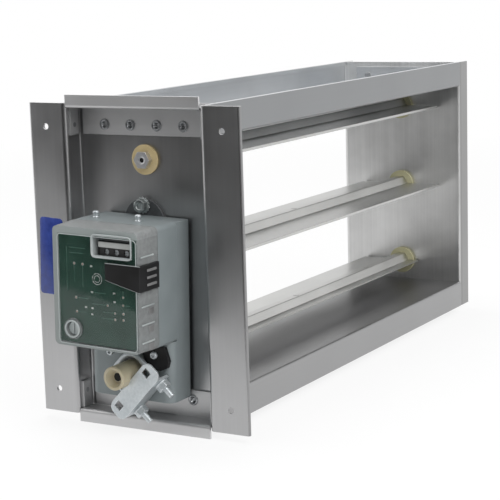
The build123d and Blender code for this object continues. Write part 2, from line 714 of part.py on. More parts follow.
def board_parts():
    """Transformer, relay and capacitors on the back of the board."""
    depth, width, height = TRANSFORMER_SIZE
    start = terminal_end + TRANSFORMER_GAP
    top = body_top - TRANSFORMER_DROP
    transformer = box((board_back, board_back + depth), (start, start + width), (top - height, top))
    depth, width, height = RELAY_SIZE
    bottom = body_bottom + RELAY_RISE
    relay_y = (-RELAY_INNER - width, -RELAY_INNER)
    relay = box((board_back, board_back + depth), relay_y, (bottom, bottom + height))
    can_x = (board_back, board_back + CAN_LENGTH)
    cans = [rod_x(CAN_R, can_x, k * CAN_SPACING, body_bottom + CAN_RISE) for k in (0, 1)]
    return [transformer, relay] + cans


def terminal_block():
    """Terminal strip behind the window, soldered to the back of the board."""
    y = (window_y[0] - TERMINAL_LIP, terminal_end)
    top = window_z[1] - TERMINAL_TOP_GAP
    block = box((board_back, board_back + TERMINAL_DEPTH), y, (window_z[0] - TERMINAL_LIP, top))
    block += box((BOARD_X, board_back), (window_y[0], terminal_end), (window_z[0] + TERMINAL_LEDGE, top))
    for y_screw, z_screw in terminal_places():
        well = (board_back - 1, board_back + TERMINAL_SCREW_LENGTH + 1)
        block -= rod_x(TERMINAL_SCREW_R, well, y_screw, z_screw)
    return block


def terminal_places():
    """Y and Z of the terminal screws."""
    middle = (window_y[0] + terminal_end) / 2
    return [(middle + k * TERMINAL_PITCH, window_z[0] + TERMINAL_SCREW_RISE) for k in (-1, 0, 1)]


def terminal_screws():
    """Slotted screws of the terminal strip."""
    front = board_back + 1
    slot = TERMINAL_SCREW_SLOT
    screws = []
    for y, z in terminal_places():
        screw = rod_x(TERMINAL_SCREW_R, (front, front + TERMINAL_SCREW_LENGTH), y, z)
        across = (y - TERMINAL_SCREW_R, y + TERMINAL_SCREW_R)
        screws.append(screw - box((front - slot, front + slot), across, (z - slot / 2, z + slot / 2)))
    return screws


def wire_boot():
    """Black wedge that closes the wire entry, with ribs on its outer side."""
    boot = along_x(boot_outline(), (BOOT_FRONT_X, BOOT_BACK_X))
    rib_x = (BOOT_FRONT_X + BOOT_RIB_ENDS[0], BOOT_BACK_X - BOOT_RIB_ENDS[1])
    for k in range(3):
        z = boot_top - BOOT_RIB_DROP - k * BOOT_RIB_PITCH
        rib_z = (z - BOOT_RIB_WIDTH / 2, z + BOOT_RIB_WIDTH / 2)
        boot += box(rib_x, (boot_y[0] - BOOT_RIB_RISE, boot_y[0]), rib_z)
    return boot


def motor_can():
    """Round motor on the body's floor."""
    can = rod_x(MOTOR_R, (MOTOR_FRONT_X, BASE_SEAM_X - SHELL), 0, pinion_z)
    return can - rod_x(MOTOR_SHAFT_R + RUNNING_GAP, (MOTOR_FRONT_X + 6, BASE_SEAM_X), 0, pinion_z)


def motor_pinion():
    """Motor shaft with its pinion."""
    pinion = along_x(Pos(0, pinion_z) * gear(PINION_TEETH, -90 + 180 / PINION_TEETH), FAST_MESH_X)
    return pinion + rod_x(MOTOR_SHAFT_R, (MOTOR_FRONT_X + 7, FAST_MESH_X[1] + 0.8), 0, pinion_z)


def idler_gear():
    """Stepped idler: the small gear drives the output gear, the big one meets the pinion."""
    small = gear(IDLER_SMALL_TEETH, -90 + 180 / IDLER_SMALL_TEETH)
    idler = along_x(Pos(0, idler_z) * small, (SLOW_MESH_X[0], FAST_MESH_X[0]))
    idler += along_x(Pos(0, idler_z) * gear(IDLER_BIG_TEETH, 90), FAST_MESH_X)
    return idler - rod_x(IDLER_PIN_R + RUNNING_GAP, (SLOW_MESH_X[0] - 1, FAST_MESH_X[1] + 1), 0, idler_z)


def idler_pin():
    """Headed pin that carries the idler."""
    pin = rod_x(IDLER_PIN_R, (SLOW_MESH_X[0] - SIDE_GAP, base_back - SHELL), 0, idler_z)
    head = (SLOW_MESH_X[0] - SIDE_GAP - 1.2, SLOW_MESH_X[0] - SIDE_GAP)
    return pin + rod_x(2 * IDLER_PIN_R, head, 0, idler_z)


def output_gear():
    """Output gear with the sleeve that grips the drive hub."""
    wheel = along_x(Pos(0, drive_z) * gear(OUTPUT_TEETH, 90), SLOW_MESH_X)
    wheel += rod_x(SLEEVE_R, (SLEEVE_FRONT_X, SLOW_MESH_X[1]), 0, drive_z)
    return wheel - rod_x(HUB_R, (SLEEVE_FRONT_X - 1, SLOW_MESH_X[1] + 1), 0, drive_z)


def axle_hub():
    """Nylon hub on the drive axle, dished and bored from the front."""
    hub = rod_x(HUB_R, (HUB_FRONT_X, SLOW_MESH_X[1]), 0, drive_z)
    hub -= hex_x(AXLE_FLATS, (AXLE_IN_HUB_X, SLOW_MESH_X[1] + 1), 0, drive_z)
    hub -= rod_x(HUB_BORE_R, (HUB_FRONT_X - 1, AXLE_IN_HUB_X), 0, drive_z)
    hub -= Pos(HUB_FRONT_X + HUB_DISH / 2, 0, drive_z) * Rot(0, 90, 0) * Cone(*HUB_DISH_R, HUB_DISH)
    face = hub.faces().sort_by(Axis.X)[0]
    return chamfer(face.outer_wire().edges(), 0.8)


tilt = math.radians(CLAMP_TILT)
# The clamp is drawn flat: local X along the bolt's legs, local Y across them, local Z towards the front.
clamp_plane = Plane(
    origin=(U_BOLT_X, 0, drive_z),
    x_dir=(0, -math.cos(tilt), -math.sin(tilt)),
    z_dir=(-1, 0, 0),
)
bow_reach = HUB_R + U_BOLT_R
yoke_far = YOKE_EDGE + YOKE_WIDTH


def u_bolt():
    """U-bolt with round corners whose back bears on the hub, and two straight legs."""
    bend_x = U_BOLT_CORNER - bow_reach
    bend_y = LEG_OFFSET - U_BOLT_CORNER
    path = Wire(
        [
            Line((U_BOLT_REACH, LEG_OFFSET), (bend_x, LEG_OFFSET)),
            CenterArc((bend_x, bend_y), U_BOLT_CORNER, 90, 90),
            Line((-bow_reach, bend_y), (-bow_reach, -bend_y)),
            CenterArc((bend_x, -bend_y), U_BOLT_CORNER, 180, 90),
            Line((bend_x, -LEG_OFFSET), (U_BOLT_REACH, -LEG_OFFSET)),
        ]
    )
    leg_end = Plane(origin=(U_BOLT_REACH, LEG_OFFSET, 0), z_dir=(-1, 0, 0))
    bolt = sweep(leg_end * Circle(U_BOLT_R), path=path)
    return clamp_plane * bolt


def clamp_yoke():
    """Folded yoke: a front plate notched for the hub and a web that the legs pass through."""
    front_z = U_BOLT_X - YOKE_FRONT_X
    plate = Pos(YOKE_EDGE + YOKE_WIDTH / 2, 0) * RectangleRounded(YOKE_WIDTH, YOKE_LENGTH, YOKE_CORNER)
    plate -= Circle(HUB_R)
    for side in (-1, 1):
        window_at = Pos(YOKE_EDGE + YOKE_WINDOW_EDGE, side * YOKE_WINDOW_SPACING / 2)
        plate -= window_at * Rectangle(YOKE_WINDOW, YOKE_WINDOW)
    yoke = extrude(Pos(0, 0, front_z - YOKE_SHEET) * plate, amount=YOKE_SHEET, dir=(0, 0, 1))
    web_z = (U_BOLT_X - YOKE_WEB_BACK_X, front_z)
    half = YOKE_WEB_LENGTH / 2
    yoke += box((yoke_far - YOKE_SHEET, yoke_far), (-half, half), web_z)
    for side in (-1, 1):
        yoke -= rod_x(U_BOLT_R, (yoke_far - 2 * YOKE_SHEET, yoke_far + YOKE_SHEET), side * LEG_OFFSET)
    return clamp_plane * yoke


def clamp_nuts():
    """Hex nuts with washers on the two legs."""
    seat = yoke_far + NUT_WASHER
    nuts = []
    for side in (-1, 1):
        nut = hex_x(NUT_FLATS, (seat, seat + NUT_HEIGHT))
        nut += rod_x(NUT_WASHER_R, (yoke_far, seat))
        nut -= rod_x(U_BOLT_R, (yoke_far - 1, seat + NUT_HEIGHT + 1))
        nuts.append(clamp_plane * (Pos(0, side * LEG_OFFSET, 0) * nut))
    return nuts


def end_stop():
    """Dark stop plate on the dome, drawn around the drive axle."""
    outline = make_face(Polyline(*STOP_OUTLINE, close=True))
    return along_x(Pos(0, drive_z) * outline, (DOME_X - STOP_HEIGHT, DOME_X))


def end_stop_screws():
    """Screw of the stop plate and a second screw on the other side of the hub."""
    front = DOME_X - STOP_HEIGHT
    right = rod_x(STOP_SCREW_R, (front - STOP_SCREW_HEAD, front), STOP_SCREW_Y, drive_z + STOP_SCREW_Z)
    left = rod_x(STOP_SCREW_R, (DOME_X - STOP_SCREW_HEAD, DOME_X), SECOND_STOP_Y, drive_z + SECOND_STOP_Z)
    return [right, left]


def anti_rotation_tab():
    """Round steel tab between the base and the web, with its upper half in sight."""
    disc = Pos(TAB_Y, base_top + TAB_RISE - TAB_R) * Circle(TAB_R)
    tab = along_x(disc, (base_back, web_front))
    tab -= rod_x(NEAR_BUSH_FLANGE_R + 2 * SIDE_GAP, (base_back - 1, web_front + 1), 0, axle_z["middle"])
    return tab - rod_x(RIVET_SHANK_R, (0, 2 * web_front), TAB_Y, tab_screw_z)


def tab_screw():
    """Hex-headed screw with a washer that holds the tab."""
    seat = base_back - TAB_WASHER
    screw = rod_x(TAB_WASHER_R, (seat, base_back), TAB_Y, tab_screw_z)
    screw += hex_x(TAB_SCREW_FLATS, (seat - TAB_SCREW_HEAD, seat), TAB_Y, tab_screw_z)
    return screw + rod_x(RIVET_SHANK_R, (base_back, web_back + TAB_SCREW_END), TAB_Y, tab_screw_z)


def frame_nodes():
    """Sheets of the frame, drilled together, and their rivets."""
    jamb = near_jamb() - rod_x(RIVET_SHANK_R, (web_front - 1, web_back + 1), TAB_Y, tab_screw_z)
    cap = end_cap()
    head = head_channel()
    return {
        "near_jamb": drill_frame(jamb),
        "end_cap_top": drill_frame(cap),
        "end_cap_bottom": drill_frame(mirror(cap, about=Plane.XY)),
        "head_channel": drill_frame(head),
        "sill_channel": drill_frame(mirror(head, about=Plane.XY)),
        "far_jamb": drill_frame(far_jamb()),
        "frame_rivets": frame_rivets(),
    }


def blade_nodes(which):
    """Everything that turns with one axle, apart from the drive."""
    return {
        "axle_" + which: axle(which),
        "blade_" + which: blade(which),
        "blade_rivets_" + which: blade_rivets(which),
        "near_bush_" + which: near_bush(which),
        "far_bush_" + which: far_bush(which),
        "crank_" + which: crank(which),
    }


def actuator_nodes():
    """Drive on the near jamb, fixed pieces and gears."""
    return {
        "actuator_base": actuator_base(),
        "actuator_body": actuator_body(),
        "actuator_cover": seated(actuator_cover(), BODY_SHIFT),
        "cover_screw": seated(cover_screw(), BODY_SHIFT),
        "circuit_board": seated(circuit_board(), BODY_SHIFT),
        "board_parts": seated(board_parts(), BODY_SHIFT),
        "terminal_block": seated(terminal_block(), BODY_SHIFT),
        "terminal_screws": seated(terminal_screws(), BODY_SHIFT),
        "wire_boot": seated(wire_boot(), BODY_SHIFT),
        "motor_can": seated(motor_can()),
        "motor_pinion": seated(motor_pinion()),
        "idler_gear": seated(idler_gear()),
        "idler_pin": seated(idler_pin()),
        "end_stop": seated(end_stop()),
        "end_stop_screws": seated(end_stop_screws()),
        "anti_rotation_tab": anti_rotation_tab(),
        "tab_screw": tab_screw(),
    }


def drive_nodes():
    """Hub, output gear and clamp on the bottom axle."""
    return {
        "axle_hub": axle_hub(),
        "output_gear": seated(output_gear()),
        "u_bolt": u_bolt(),
        "clamp_yoke": clamp_yoke(),
        "clamp_nuts": clamp_nuts(),
    }


nodes = frame_nodes()
for name in axle_z:
    nodes.update(blade_nodes(name))
nodes["tie_bar"] = tie_bar()
nodes.update(actuator_nodes())
nodes.update(drive_nodes())

os.makedirs("parts", exist_ok=True)
for name, shape in nodes.items():
    solids = shape if isinstance(shape, list) else [shape]
    pieces = [solid for item in solids for solid in item.solids()]
    whole = pieces[0] if len(pieces) == 1 else Compound(children=pieces)
    whole.label = name
    export_step(whole, os.path.join("parts", name + ".step"))
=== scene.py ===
import math

import bmesh
import bpy
from mathutils import Matrix, Vector


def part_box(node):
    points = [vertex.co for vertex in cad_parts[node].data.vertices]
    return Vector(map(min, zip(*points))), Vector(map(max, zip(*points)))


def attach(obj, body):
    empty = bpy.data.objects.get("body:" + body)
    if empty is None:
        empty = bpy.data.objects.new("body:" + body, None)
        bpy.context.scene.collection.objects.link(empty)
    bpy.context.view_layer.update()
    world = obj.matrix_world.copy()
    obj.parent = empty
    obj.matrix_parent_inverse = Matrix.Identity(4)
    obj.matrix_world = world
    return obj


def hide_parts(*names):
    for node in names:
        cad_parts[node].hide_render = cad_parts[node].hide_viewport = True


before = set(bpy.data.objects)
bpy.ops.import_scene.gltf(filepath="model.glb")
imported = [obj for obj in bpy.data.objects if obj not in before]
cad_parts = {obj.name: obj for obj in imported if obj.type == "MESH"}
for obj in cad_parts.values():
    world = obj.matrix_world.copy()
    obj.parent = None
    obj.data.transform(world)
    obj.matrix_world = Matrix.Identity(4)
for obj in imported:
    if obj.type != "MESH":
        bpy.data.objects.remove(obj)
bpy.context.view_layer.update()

# Slide-in duct damper with a motor drive: finishes, small hardware, studio and camera, in metres.
MM = 0.001

# View
IMAGE_SIZE = 500
FOCAL_LENGTH_PX = 1571.11
SENSOR_MM = 36.0
VIEW_AZIMUTH = -59.779
VIEW_ELEVATION = 10.125
VIEW_ROLL = -1.757
VIEW_TARGET = Vector((0.250, 0.0, 0.0))
TARGET_IN_VIEW = Vector((35.613, -29.223, 1447.175)) * MM

# Places on the frame, taken from the part
floor_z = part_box("end_cap_bottom")[0].z
hub_low, hub_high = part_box("axle_hub")
drive_z = (hub_low.z + hub_high.z) / 2
cover_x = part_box("actuator_cover")[0].x
board_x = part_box("circuit_board")[0].x

FRONT = Vector((-1, 0, 0))
UP = Vector((0, 0, 1))
OUTER = (0, -1, 0)
SIDES = (-1, 1)
BLADES = ("bottom", "middle", "top")

# Meshes
SMALL_R = 1e-5
MERGE_DISTANCE = 1e-7
SHARP_ANGLE = math.radians(38)
CHAMFER_SHARE = 1.02
CHAMFER_ANGLE = math.radians(30)


def placed(origin, normal, up=UP):
    """Local frame with Z along normal and Y as near to up as it can be."""
    z = Vector(normal).normalized()
    x = Vector(up).cross(z).normalized()
    y = z.cross(x)
    turn = Matrix((x, y, z)).transposed().to_4x4()
    return Matrix.Translation(origin) @ turn


# The actuator leans a little around the drive axle, and its housing sits off the axle's line.
LEAN = math.radians(1.6)
BODY_SHIFT = 3.2 * MM
to_axle = Matrix.Translation((0, 0, drive_z))
train_seat = to_axle @ Matrix.Rotation(LEAN, 4, "X") @ to_axle.inverted()
body_seat = train_seat @ Matrix.Translation((0, BODY_SHIFT, 0))


def rounded_rect(width, height, corner, steps=5):
    """Outline of a rectangle with round corners."""
    outline = []
    for quarter, (side_x, side_y) in enumerate(((1, 1), (-1, 1), (-1, -1), (1, -1))):
        for step in range(steps + 1):
            angle = math.radians(90 * (quarter + step / steps))
            x = side_x * (width / 2 - corner) + corner * math.cos(angle)
            y = side_y * (height / 2 - corner) + corner * math.sin(angle)
            outline.append((x, y))
    return outline


def hexagon_radius(flats, angle):
    """Distance from the middle of a hexagon to its side."""
    nearest = (angle + math.pi / 6) % (math.pi / 3) - math.pi / 6
    return flats / 2 / math.cos(nearest)


class Shape:
    """Points and faces of a piece while it is put together."""

    def __init__(self):
        self.points = []
        self.faces = []

    def skin(self, rings, capped=True, looped=False):
        """Faces over rings of equal length, with or without end caps."""
        first = len(self.points)
        count = len(rings[0])
        for ring in rings:
            self.points.extend(tuple(point) for point in ring)
        spans = len(rings) if looped else len(rings) - 1
        for level in range(spans):
            low = first + level * count
            high = first + (level + 1) % len(rings) * count
            for i in range(count):
                j = (i + 1) % count
                self.faces.append((low + i, low + j, high + j, high + i))
        if capped and not looped:
            self.faces.append(tuple(range(first + count - 1, first - 1, -1)))
            last = first + (len(rings) - 1) * count
            self.faces.append(tuple(range(last, last + count)))

    def lathe(self, frame_at, profile, segments=32):
        """Turned form: profile lists (radius, height) along the local Z axis."""
        rings = []
        for radius, height in profile:
            ring = []
            for i in range(segments):
                angle = 2 * math.pi * i / segments
                ring.append(frame_at @ Vector((radius * math.cos(angle), radius * math.sin(angle), height)))
            rings.append(ring)
        self.skin(rings)

    def hex_nut(self, frame_at, flats, height, bore, segments=48):
        """Hexagon with turned chamfers at both ends and a bore."""
        chamfer_r = flats / 2 * CHAMFER_SHARE
        slope = math.tan(CHAMFER_ANGLE)
        rings = [[] for _ in range(6)]
        for i in range(segments):
            angle = 2 * math.pi * i / segments
            side = hexagon_radius(flats, angle)
            drop = max(side - chamfer_r, 0.0) * slope
            levels = (
                (bore, 0.0),
                (chamfer_r, 0.0),
                (side, drop),
                (side, height - drop),
                (chamfer_r, height),
                (bore, height),
            )
            for ring, (radius, level) in zip(rings, levels):
                ring.append(frame_at @ Vector((radius * math.cos(angle), radius * math.sin(angle), level)))
        self.skin(rings, looped=True)

    def slab(self, frame_at, width, height, corner, thickness, edge, steps=5):
        """Plate with round corners and a rounded front edge."""
        rings = []
        levels = [(0.0, 0.0), (0.0, thickness - edge)]
        for step in (1, 2, 3):
            angle = math.radians(30 * step)
            levels.append((edge * (1 - math.cos(angle)), thickness - edge + edge * math.sin(angle)))
        for inset, level in levels:
            round_r = max(corner - inset, SMALL_R)
            outline = rounded_rect(width - 2 * inset, height - 2 * inset, round_r, steps)
            rings.append([frame_at @ Vector((x, y, level)) for x, y in outline])
        self.skin(rings)

    def tube(self, path, radius, sides=10, looped=False):
        """Round bar along a path of points."""
        rings = []
        last = len(path) - 1
        across = None
        for i, point in enumerate(path):
            before = path[i - 1] if i > 0 or looped else path[i]
            after = path[(i + 1) % len(path)] if i < last or looped else path[i]
            along = (after - before).normalized()
            if across is None:
                across = along.orthogonal().normalized()
            across = (across - along * across.dot(along)).normalized()
            other = along.cross(across)
            ring = []
            for k in range(sides):
                angle = 2 * math.pi * k / sides
                ring.append(point + radius * (math.cos(angle) * across + math.sin(angle) * other))
            rings.append(ring)
        self.skin(rings, looped=looped)


def piece(name, shape, body, material):
    """Finished mesh that rides on a body and takes its finish from a slot."""
    mesh = bpy.data.meshes.new(name)
    mesh.from_pydata(shape.points, [], shape.faces)
    work = bmesh.new()
    work.from_mesh(mesh)
    bmesh.ops.remove_doubles(work, verts=work.verts, dist=MERGE_DISTANCE)
    bmesh.ops.recalc_face_normals(work, faces=work.faces)
    work.to_mesh(mesh)
    work.free()
    mesh.polygons.foreach_set("use_smooth", [True] * len(mesh.polygons))
    mesh.set_sharp_from_angle(angle=SHARP_ANGLE)
    mesh.materials.append(material)
    made = bpy.data.objects.new(name, mesh)
    bpy.context.scene.collection.objects.link(made)
    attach(made, body)
    return made


# Materials

# Rolled sheet: share of its rolling lines, changes in its roughness, and where a side counts as outer and
# takes painted shade
LINE_SHARE = 0.2
STREAK = 0.012
BLOTCH = 0.04
OUTER_REACH = (35 * MM, 55 * MM)

# Cover: frost on its sides and on a border of its front, in the housing's own directions, and frost along its
# edges as a painted highlight
FROST = 0.62
EDGE_GLINT = 0.8
BORDER_SHARE = 0.75
BORDER_FROST = (0.30, 0.33, 0.325)
BORDERS = (
    ("Y", 33.6 * MM, 34.6 * MM),
    ("Z", 31.8 * MM, 32.8 * MM),
    ("Z", -52.6 * MM, -53.4 * MM),
)


def start_material(name, settings):
    """Principled material with constant values on the shader's own sockets."""
    material = bpy.data.materials.new(name)
    material.use_nodes = True
    shader = material.node_tree.nodes["Principled BSDF"]
    for socket, value in settings.items():
        shader.inputs[socket].default_value = value
    return material, material.node_tree, shader


def noise(tree, scale, stretch=(1, 1, 1), detail=3.0):
    """Noise in the object's own coordinates, drawn out along an axis by a small stretch value."""
    place = tree.nodes.new("ShaderNodeTexCoord")
    mapping = tree.nodes.new("ShaderNodeMapping")
    mapping.inputs["Scale"].default_value = stretch
    texture = tree.nodes.new("ShaderNodeTexNoise")
    texture.inputs["Scale"].default_value = scale
    texture.inputs["Detail"].default_value = detail
    tree.links.new(place.outputs["Object"], mapping.inputs["Vector"])
    tree.links.new(mapping.outputs["Vector"], texture.inputs["Vector"])
    return texture.outputs[0]


def spread(tree, value, low, high, start=0.3, end=0.7):
    """Noise value mapped from start..end to low..high."""
    node = tree.nodes.new("ShaderNodeMapRange")
    node.inputs["From Min"].default_value = start
    node.inputs["From Max"].default_value = end
    node.inputs["To Min"].default_value = low
    node.inputs["To Max"].default_value = high
    tree.links.new(value, node.inputs["Value"])
    return node.outputs[0]


def calculate(tree, operation, first, second):
    """Math node on two values, each a socket or a number."""
    node = tree.nodes.new("ShaderNodeMath")
    node.operation = operation
    for value, socket in zip((first, second), node.inputs):
        if isinstance(value, (int, float)):
            socket.default_value = value
        else:
            tree.links.new(value, socket)
    return node.outputs[0]


def colors(tree, value, stops):
    """Colour ramp over a value; stops lists (position, linear colour)."""
    node = tree.nodes.new("ShaderNodeValToRGB")
    ramp = node.color_ramp
    while len(ramp.elements) < len(stops):
        ramp.elements.new(0.5)
    for element, (position, color) in zip(ramp.elements, stops):
        element.position = position
        element.color = (*color, 1.0)
    tree.links.new(value, node.inputs["Fac"])
    return node.outputs["Color"]


def mixed(tree, factor, first, second):
    """Colour between two colours; the second may be a plain colour."""
    node = tree.nodes.new("ShaderNodeMix")
    node.data_type = "RGBA"
    tree.links.new(factor, node.inputs[0])
    for value, socket in ((first, node.inputs[6]), (second, node.inputs[7])):
        if isinstance(value, tuple):
            socket.default_value = (*value, 1.0)
        else:
            tree.links.new(value, socket)
    return node.outputs[2]


def rounded_edges(tree, radius):
    """Normal of slightly broken edges and a mask that is 1 along them."""
    bevel = tree.nodes.new("ShaderNodeBevel")
    bevel.samples = 6
    bevel.inputs["Radius"].default_value = radius
    flat = tree.nodes.new("ShaderNodeNewGeometry")
    dot = tree.nodes.new("ShaderNodeVectorMath")
    dot.operation = "DOT_PRODUCT"
    tree.links.new(bevel.outputs["Normal"], dot.inputs[0])
    tree.links.new(flat.outputs["Normal"], dot.inputs[1])
    mask = spread(tree, dot.outputs["Value"], 1.0, 0.0, 0.80, 0.99)
    return bevel.outputs["Normal"], mask


def bumped(tree, height, depth, normal=None):
    """Normal with a height texture on it."""
    node = tree.nodes.new("ShaderNodeBump")
    node.inputs["Distance"].default_value = depth
    tree.links.new(height, node.inputs["Height"])
    if normal is not None:
        tree.links.new(normal, node.inputs["Normal"])
    return node.outputs["Normal"]


def rolled_metal(name, grain, dark, light, roughness, painted_edge_tone, outer_shade_tone=1.0):
    """Sheet metal with rolling lines along the grain and faint clouds; its edges take a painted edge tone, a
    painted highlight where it is light and a painted shade line where it is dark, and its outer sides take a
    darker copy of its colour as painted shade.
    """
    material, tree, shader = start_material(name, {"Metallic": 1.0})
    lines = noise(tree, 1.0, grain, 2.0)
    clouds = noise(tree, 14.0, detail=4.0)
    line_part = calculate(tree, "MULTIPLY", lines, LINE_SHARE)
    cloud_part = calculate(tree, "MULTIPLY", clouds, 1 - LINE_SHARE)
    blend = calculate(tree, "ADD", line_part, cloud_part)
    sheet = colors(tree, blend, [(0.34, dark), (0.66, light)])
    place = tree.nodes.new("ShaderNodeTexCoord")
    facing = tree.nodes.new("ShaderNodeSeparateXYZ")
    spot = tree.nodes.new("ShaderNodeSeparateXYZ")
    tree.links.new(place.outputs["Normal"], facing.inputs["Vector"])
    tree.links.new(place.outputs["Object"], spot.inputs["Vector"])
    # Faces turned outwards take a darker copy of the light tone: painted shade.
    outwards = calculate(tree, "MULTIPLY", facing.outputs["Y"], spot.outputs["Y"])
    outer = tuple(outer_shade_tone * value for value in light)
    sheet = mixed(tree, spread(tree, outwards, 0.0, 1.0, *OUTER_REACH), sheet, outer)
    normal, edges = rounded_edges(tree, 0.4 * MM)
    # Edges take the painted edge tone: a painted highlight, and on the blades a painted dark shade line.
    tree.links.new(mixed(tree, edges, sheet, painted_edge_tone), shader.inputs["Base Color"])
    streaks = spread(tree, lines, roughness - STREAK, roughness + STREAK)
    rough = calculate(tree, "ADD", spread(tree, clouds, -BLOTCH, BLOTCH), streaks)
    tree.links.new(rough, shader.inputs["Roughness"])
    tree.links.new(bumped(tree, clouds, 0.05 * MM, normal), shader.inputs["Normal"])
    return material


def moulded(name, dark, light, roughness, grain_depth, extra=None):
    """Moulded plastic: fine grain, slight tone changes and a painted highlight along its edges."""
    settings = {"Specular IOR Level": 0.45}
    settings.update(extra or {})
    material, tree, shader = start_material(name, settings)
    clouds = noise(tree, 45.0, detail=3.0)
    grain = noise(tree, 2600.0, detail=2.0)
    normal, edges = rounded_edges(tree, 0.6 * MM)
    base = colors(tree, clouds, [(0.3, dark), (0.7, light)])
    # Edges are lightened: painted highlight.
    edge_highlight = tuple(min(1.0, 1.25 * value + 0.02) for value in light)
    tree.links.new(mixed(tree, edges, base, edge_highlight), shader.inputs["Base Color"])
    tree.links.new(spread(tree, clouds, roughness - 0.06, roughness + 0.08), shader.inputs["Roughness"])
    tree.links.new(bumped(tree, grain, grain_depth, normal), shader.inputs["Normal"])
    return material


def plated_steel(name, dark, light, roughness, shine=0.85, edge=(0.95, 0.97, 0.98)):
    """Zinc plate: pale, slightly blotchy, with a satin shine and a painted highlight along its edges."""
    material, tree, shader = start_material(name, {"Metallic": shine})
    blotches = noise(tree, 420.0, detail=5.0)
    wide = noise(tree, 90.0, detail=2.0)
    normal, edges = rounded_edges(tree, 0.6 * MM)
    both = calculate(tree, "MULTIPLY", calculate(tree, "ADD", blotches, wide), 0.5)
    base = colors(tree, both, [(0.35, dark), (0.65, light)])
    # Edges are mixed towards the edge colour: painted highlight.
    tree.links.new(mixed(tree, edges, base, edge), shader.inputs["Base Color"])
    tree.links.new(spread(tree, blotches, roughness - 0.08, roughness + 0.10), shader.inputs["Roughness"])
    tree.links.new(bumped(tree, blotches, 0.02 * MM, normal), shader.inputs["Normal"])
    return material


def clear_plastic(name):
    """Cover moulding: clear front with a frosted border and frosted sides, the sides' frost darker as painted
    shade and frost along the edges as a painted highlight; light passes through.
    """
    settings = {"Transmission Weight": 1.0, "IOR": 1.3, "Specular IOR Level": 0.3}
    material, tree, shader = start_material(name, settings)
    waves = noise(tree, 70.0, detail=2.0)
    haze = noise(tree, 300.0, detail=3.0)
    normal, edges = rounded_edges(tree, 0.9 * MM)
    tint = colors(tree, waves, [(0.3, (0.92, 0.94, 0.94)), (0.7, (0.98, 0.99, 0.99))])
    tree.links.new(tint, shader.inputs["Base Color"])
    tree.links.new(spread(tree, haze, 0.02, 0.07), shader.inputs["Roughness"])
    tree.links.new(bumped(tree, waves, 0.03 * MM, normal), shader.inputs["Normal"])

    frosted = tree.nodes.new("ShaderNodeBsdfPrincipled")
    frosted.inputs["Specular IOR Level"].default_value = 0.4
    # Frost on faces turned aside is darker than the front border's: painted shade on the sides.
    shaded_side_frost = colors(tree, haze, [(0.3, (0.20, 0.21, 0.21)), (0.7, (0.28, 0.29, 0.29))])
    tree.links.new(spread(tree, haze, 0.38, 0.52), frosted.inputs["Roughness"])
    tree.links.new(normal, frosted.inputs["Normal"])
    facing = tree.nodes.new("ShaderNodeSeparateXYZ")
    geometry = tree.nodes.new("ShaderNodeNewGeometry")
    tree.links.new(geometry.outputs["Normal"], facing.inputs["Vector"])
    frontal = calculate(tree, "ABSOLUTE", facing.outputs["X"], 0.0)
    front = spread(tree, frontal, 0.0, 1.0, 0.3, 0.8)
    tree.links.new(mixed(tree, front, shaded_side_frost, BORDER_FROST), frosted.inputs["Base Color"])
    sides = spread(tree, frontal, FROST, 0.0, 0.3, 0.8)
    upright = body_seat.inverted()
    place = tree.nodes.new("ShaderNodeTexCoord")
    mapping = tree.nodes.new("ShaderNodeMapping")
    mapping.inputs["Location"].default_value = upright.to_translation()
    mapping.inputs["Rotation"].default_value = upright.to_euler()
    tree.links.new(place.outputs["Object"], mapping.inputs["Vector"])
    local = tree.nodes.new("ShaderNodeSeparateXYZ")
    tree.links.new(mapping.outputs["Vector"], local.inputs["Vector"])
    for axis, clear_at, frosted_at in BORDERS:
        border = spread(tree, local.outputs[axis], 0.0, BORDER_SHARE, clear_at, frosted_at)
        sides = calculate(tree, "MAXIMUM", sides, border)
    moulding = tree.nodes.new("ShaderNodeMixShader")
    # Frost along the edges: painted highlight lines.
    edge_glints = calculate(tree, "MULTIPLY", edges, EDGE_GLINT)
    tree.links.new(calculate(tree, "MAXIMUM", sides, edge_glints), moulding.inputs[0])
    tree.links.new(shader.outputs[0], moulding.inputs[1])
    tree.links.new(frosted.outputs[0], moulding.inputs[2])

    rays = tree.nodes.new("ShaderNodeLightPath").outputs
    through = tree.nodes.new("ShaderNodeBsdfTransparent")
    through.inputs["Color"].default_value = (0.86, 0.88, 0.88, 1.0)
    mix = tree.nodes.new("ShaderNodeMixShader")
    soft_ray = calculate(tree, "MAXIMUM", rays["Is Shadow Ray"], rays["Is Diffuse Ray"])
    tree.links.new(soft_ray, mix.inputs[0])
    tree.links.new(moulding.outputs[0], mix.inputs[1])
    tree.links.new(through.outputs[0], mix.inputs[2])
    output = next(node for node in tree.nodes if node.type == "OUTPUT_MATERIAL")
    tree.links.new(mix.outputs[0], output.inputs["Surface"])
    return material


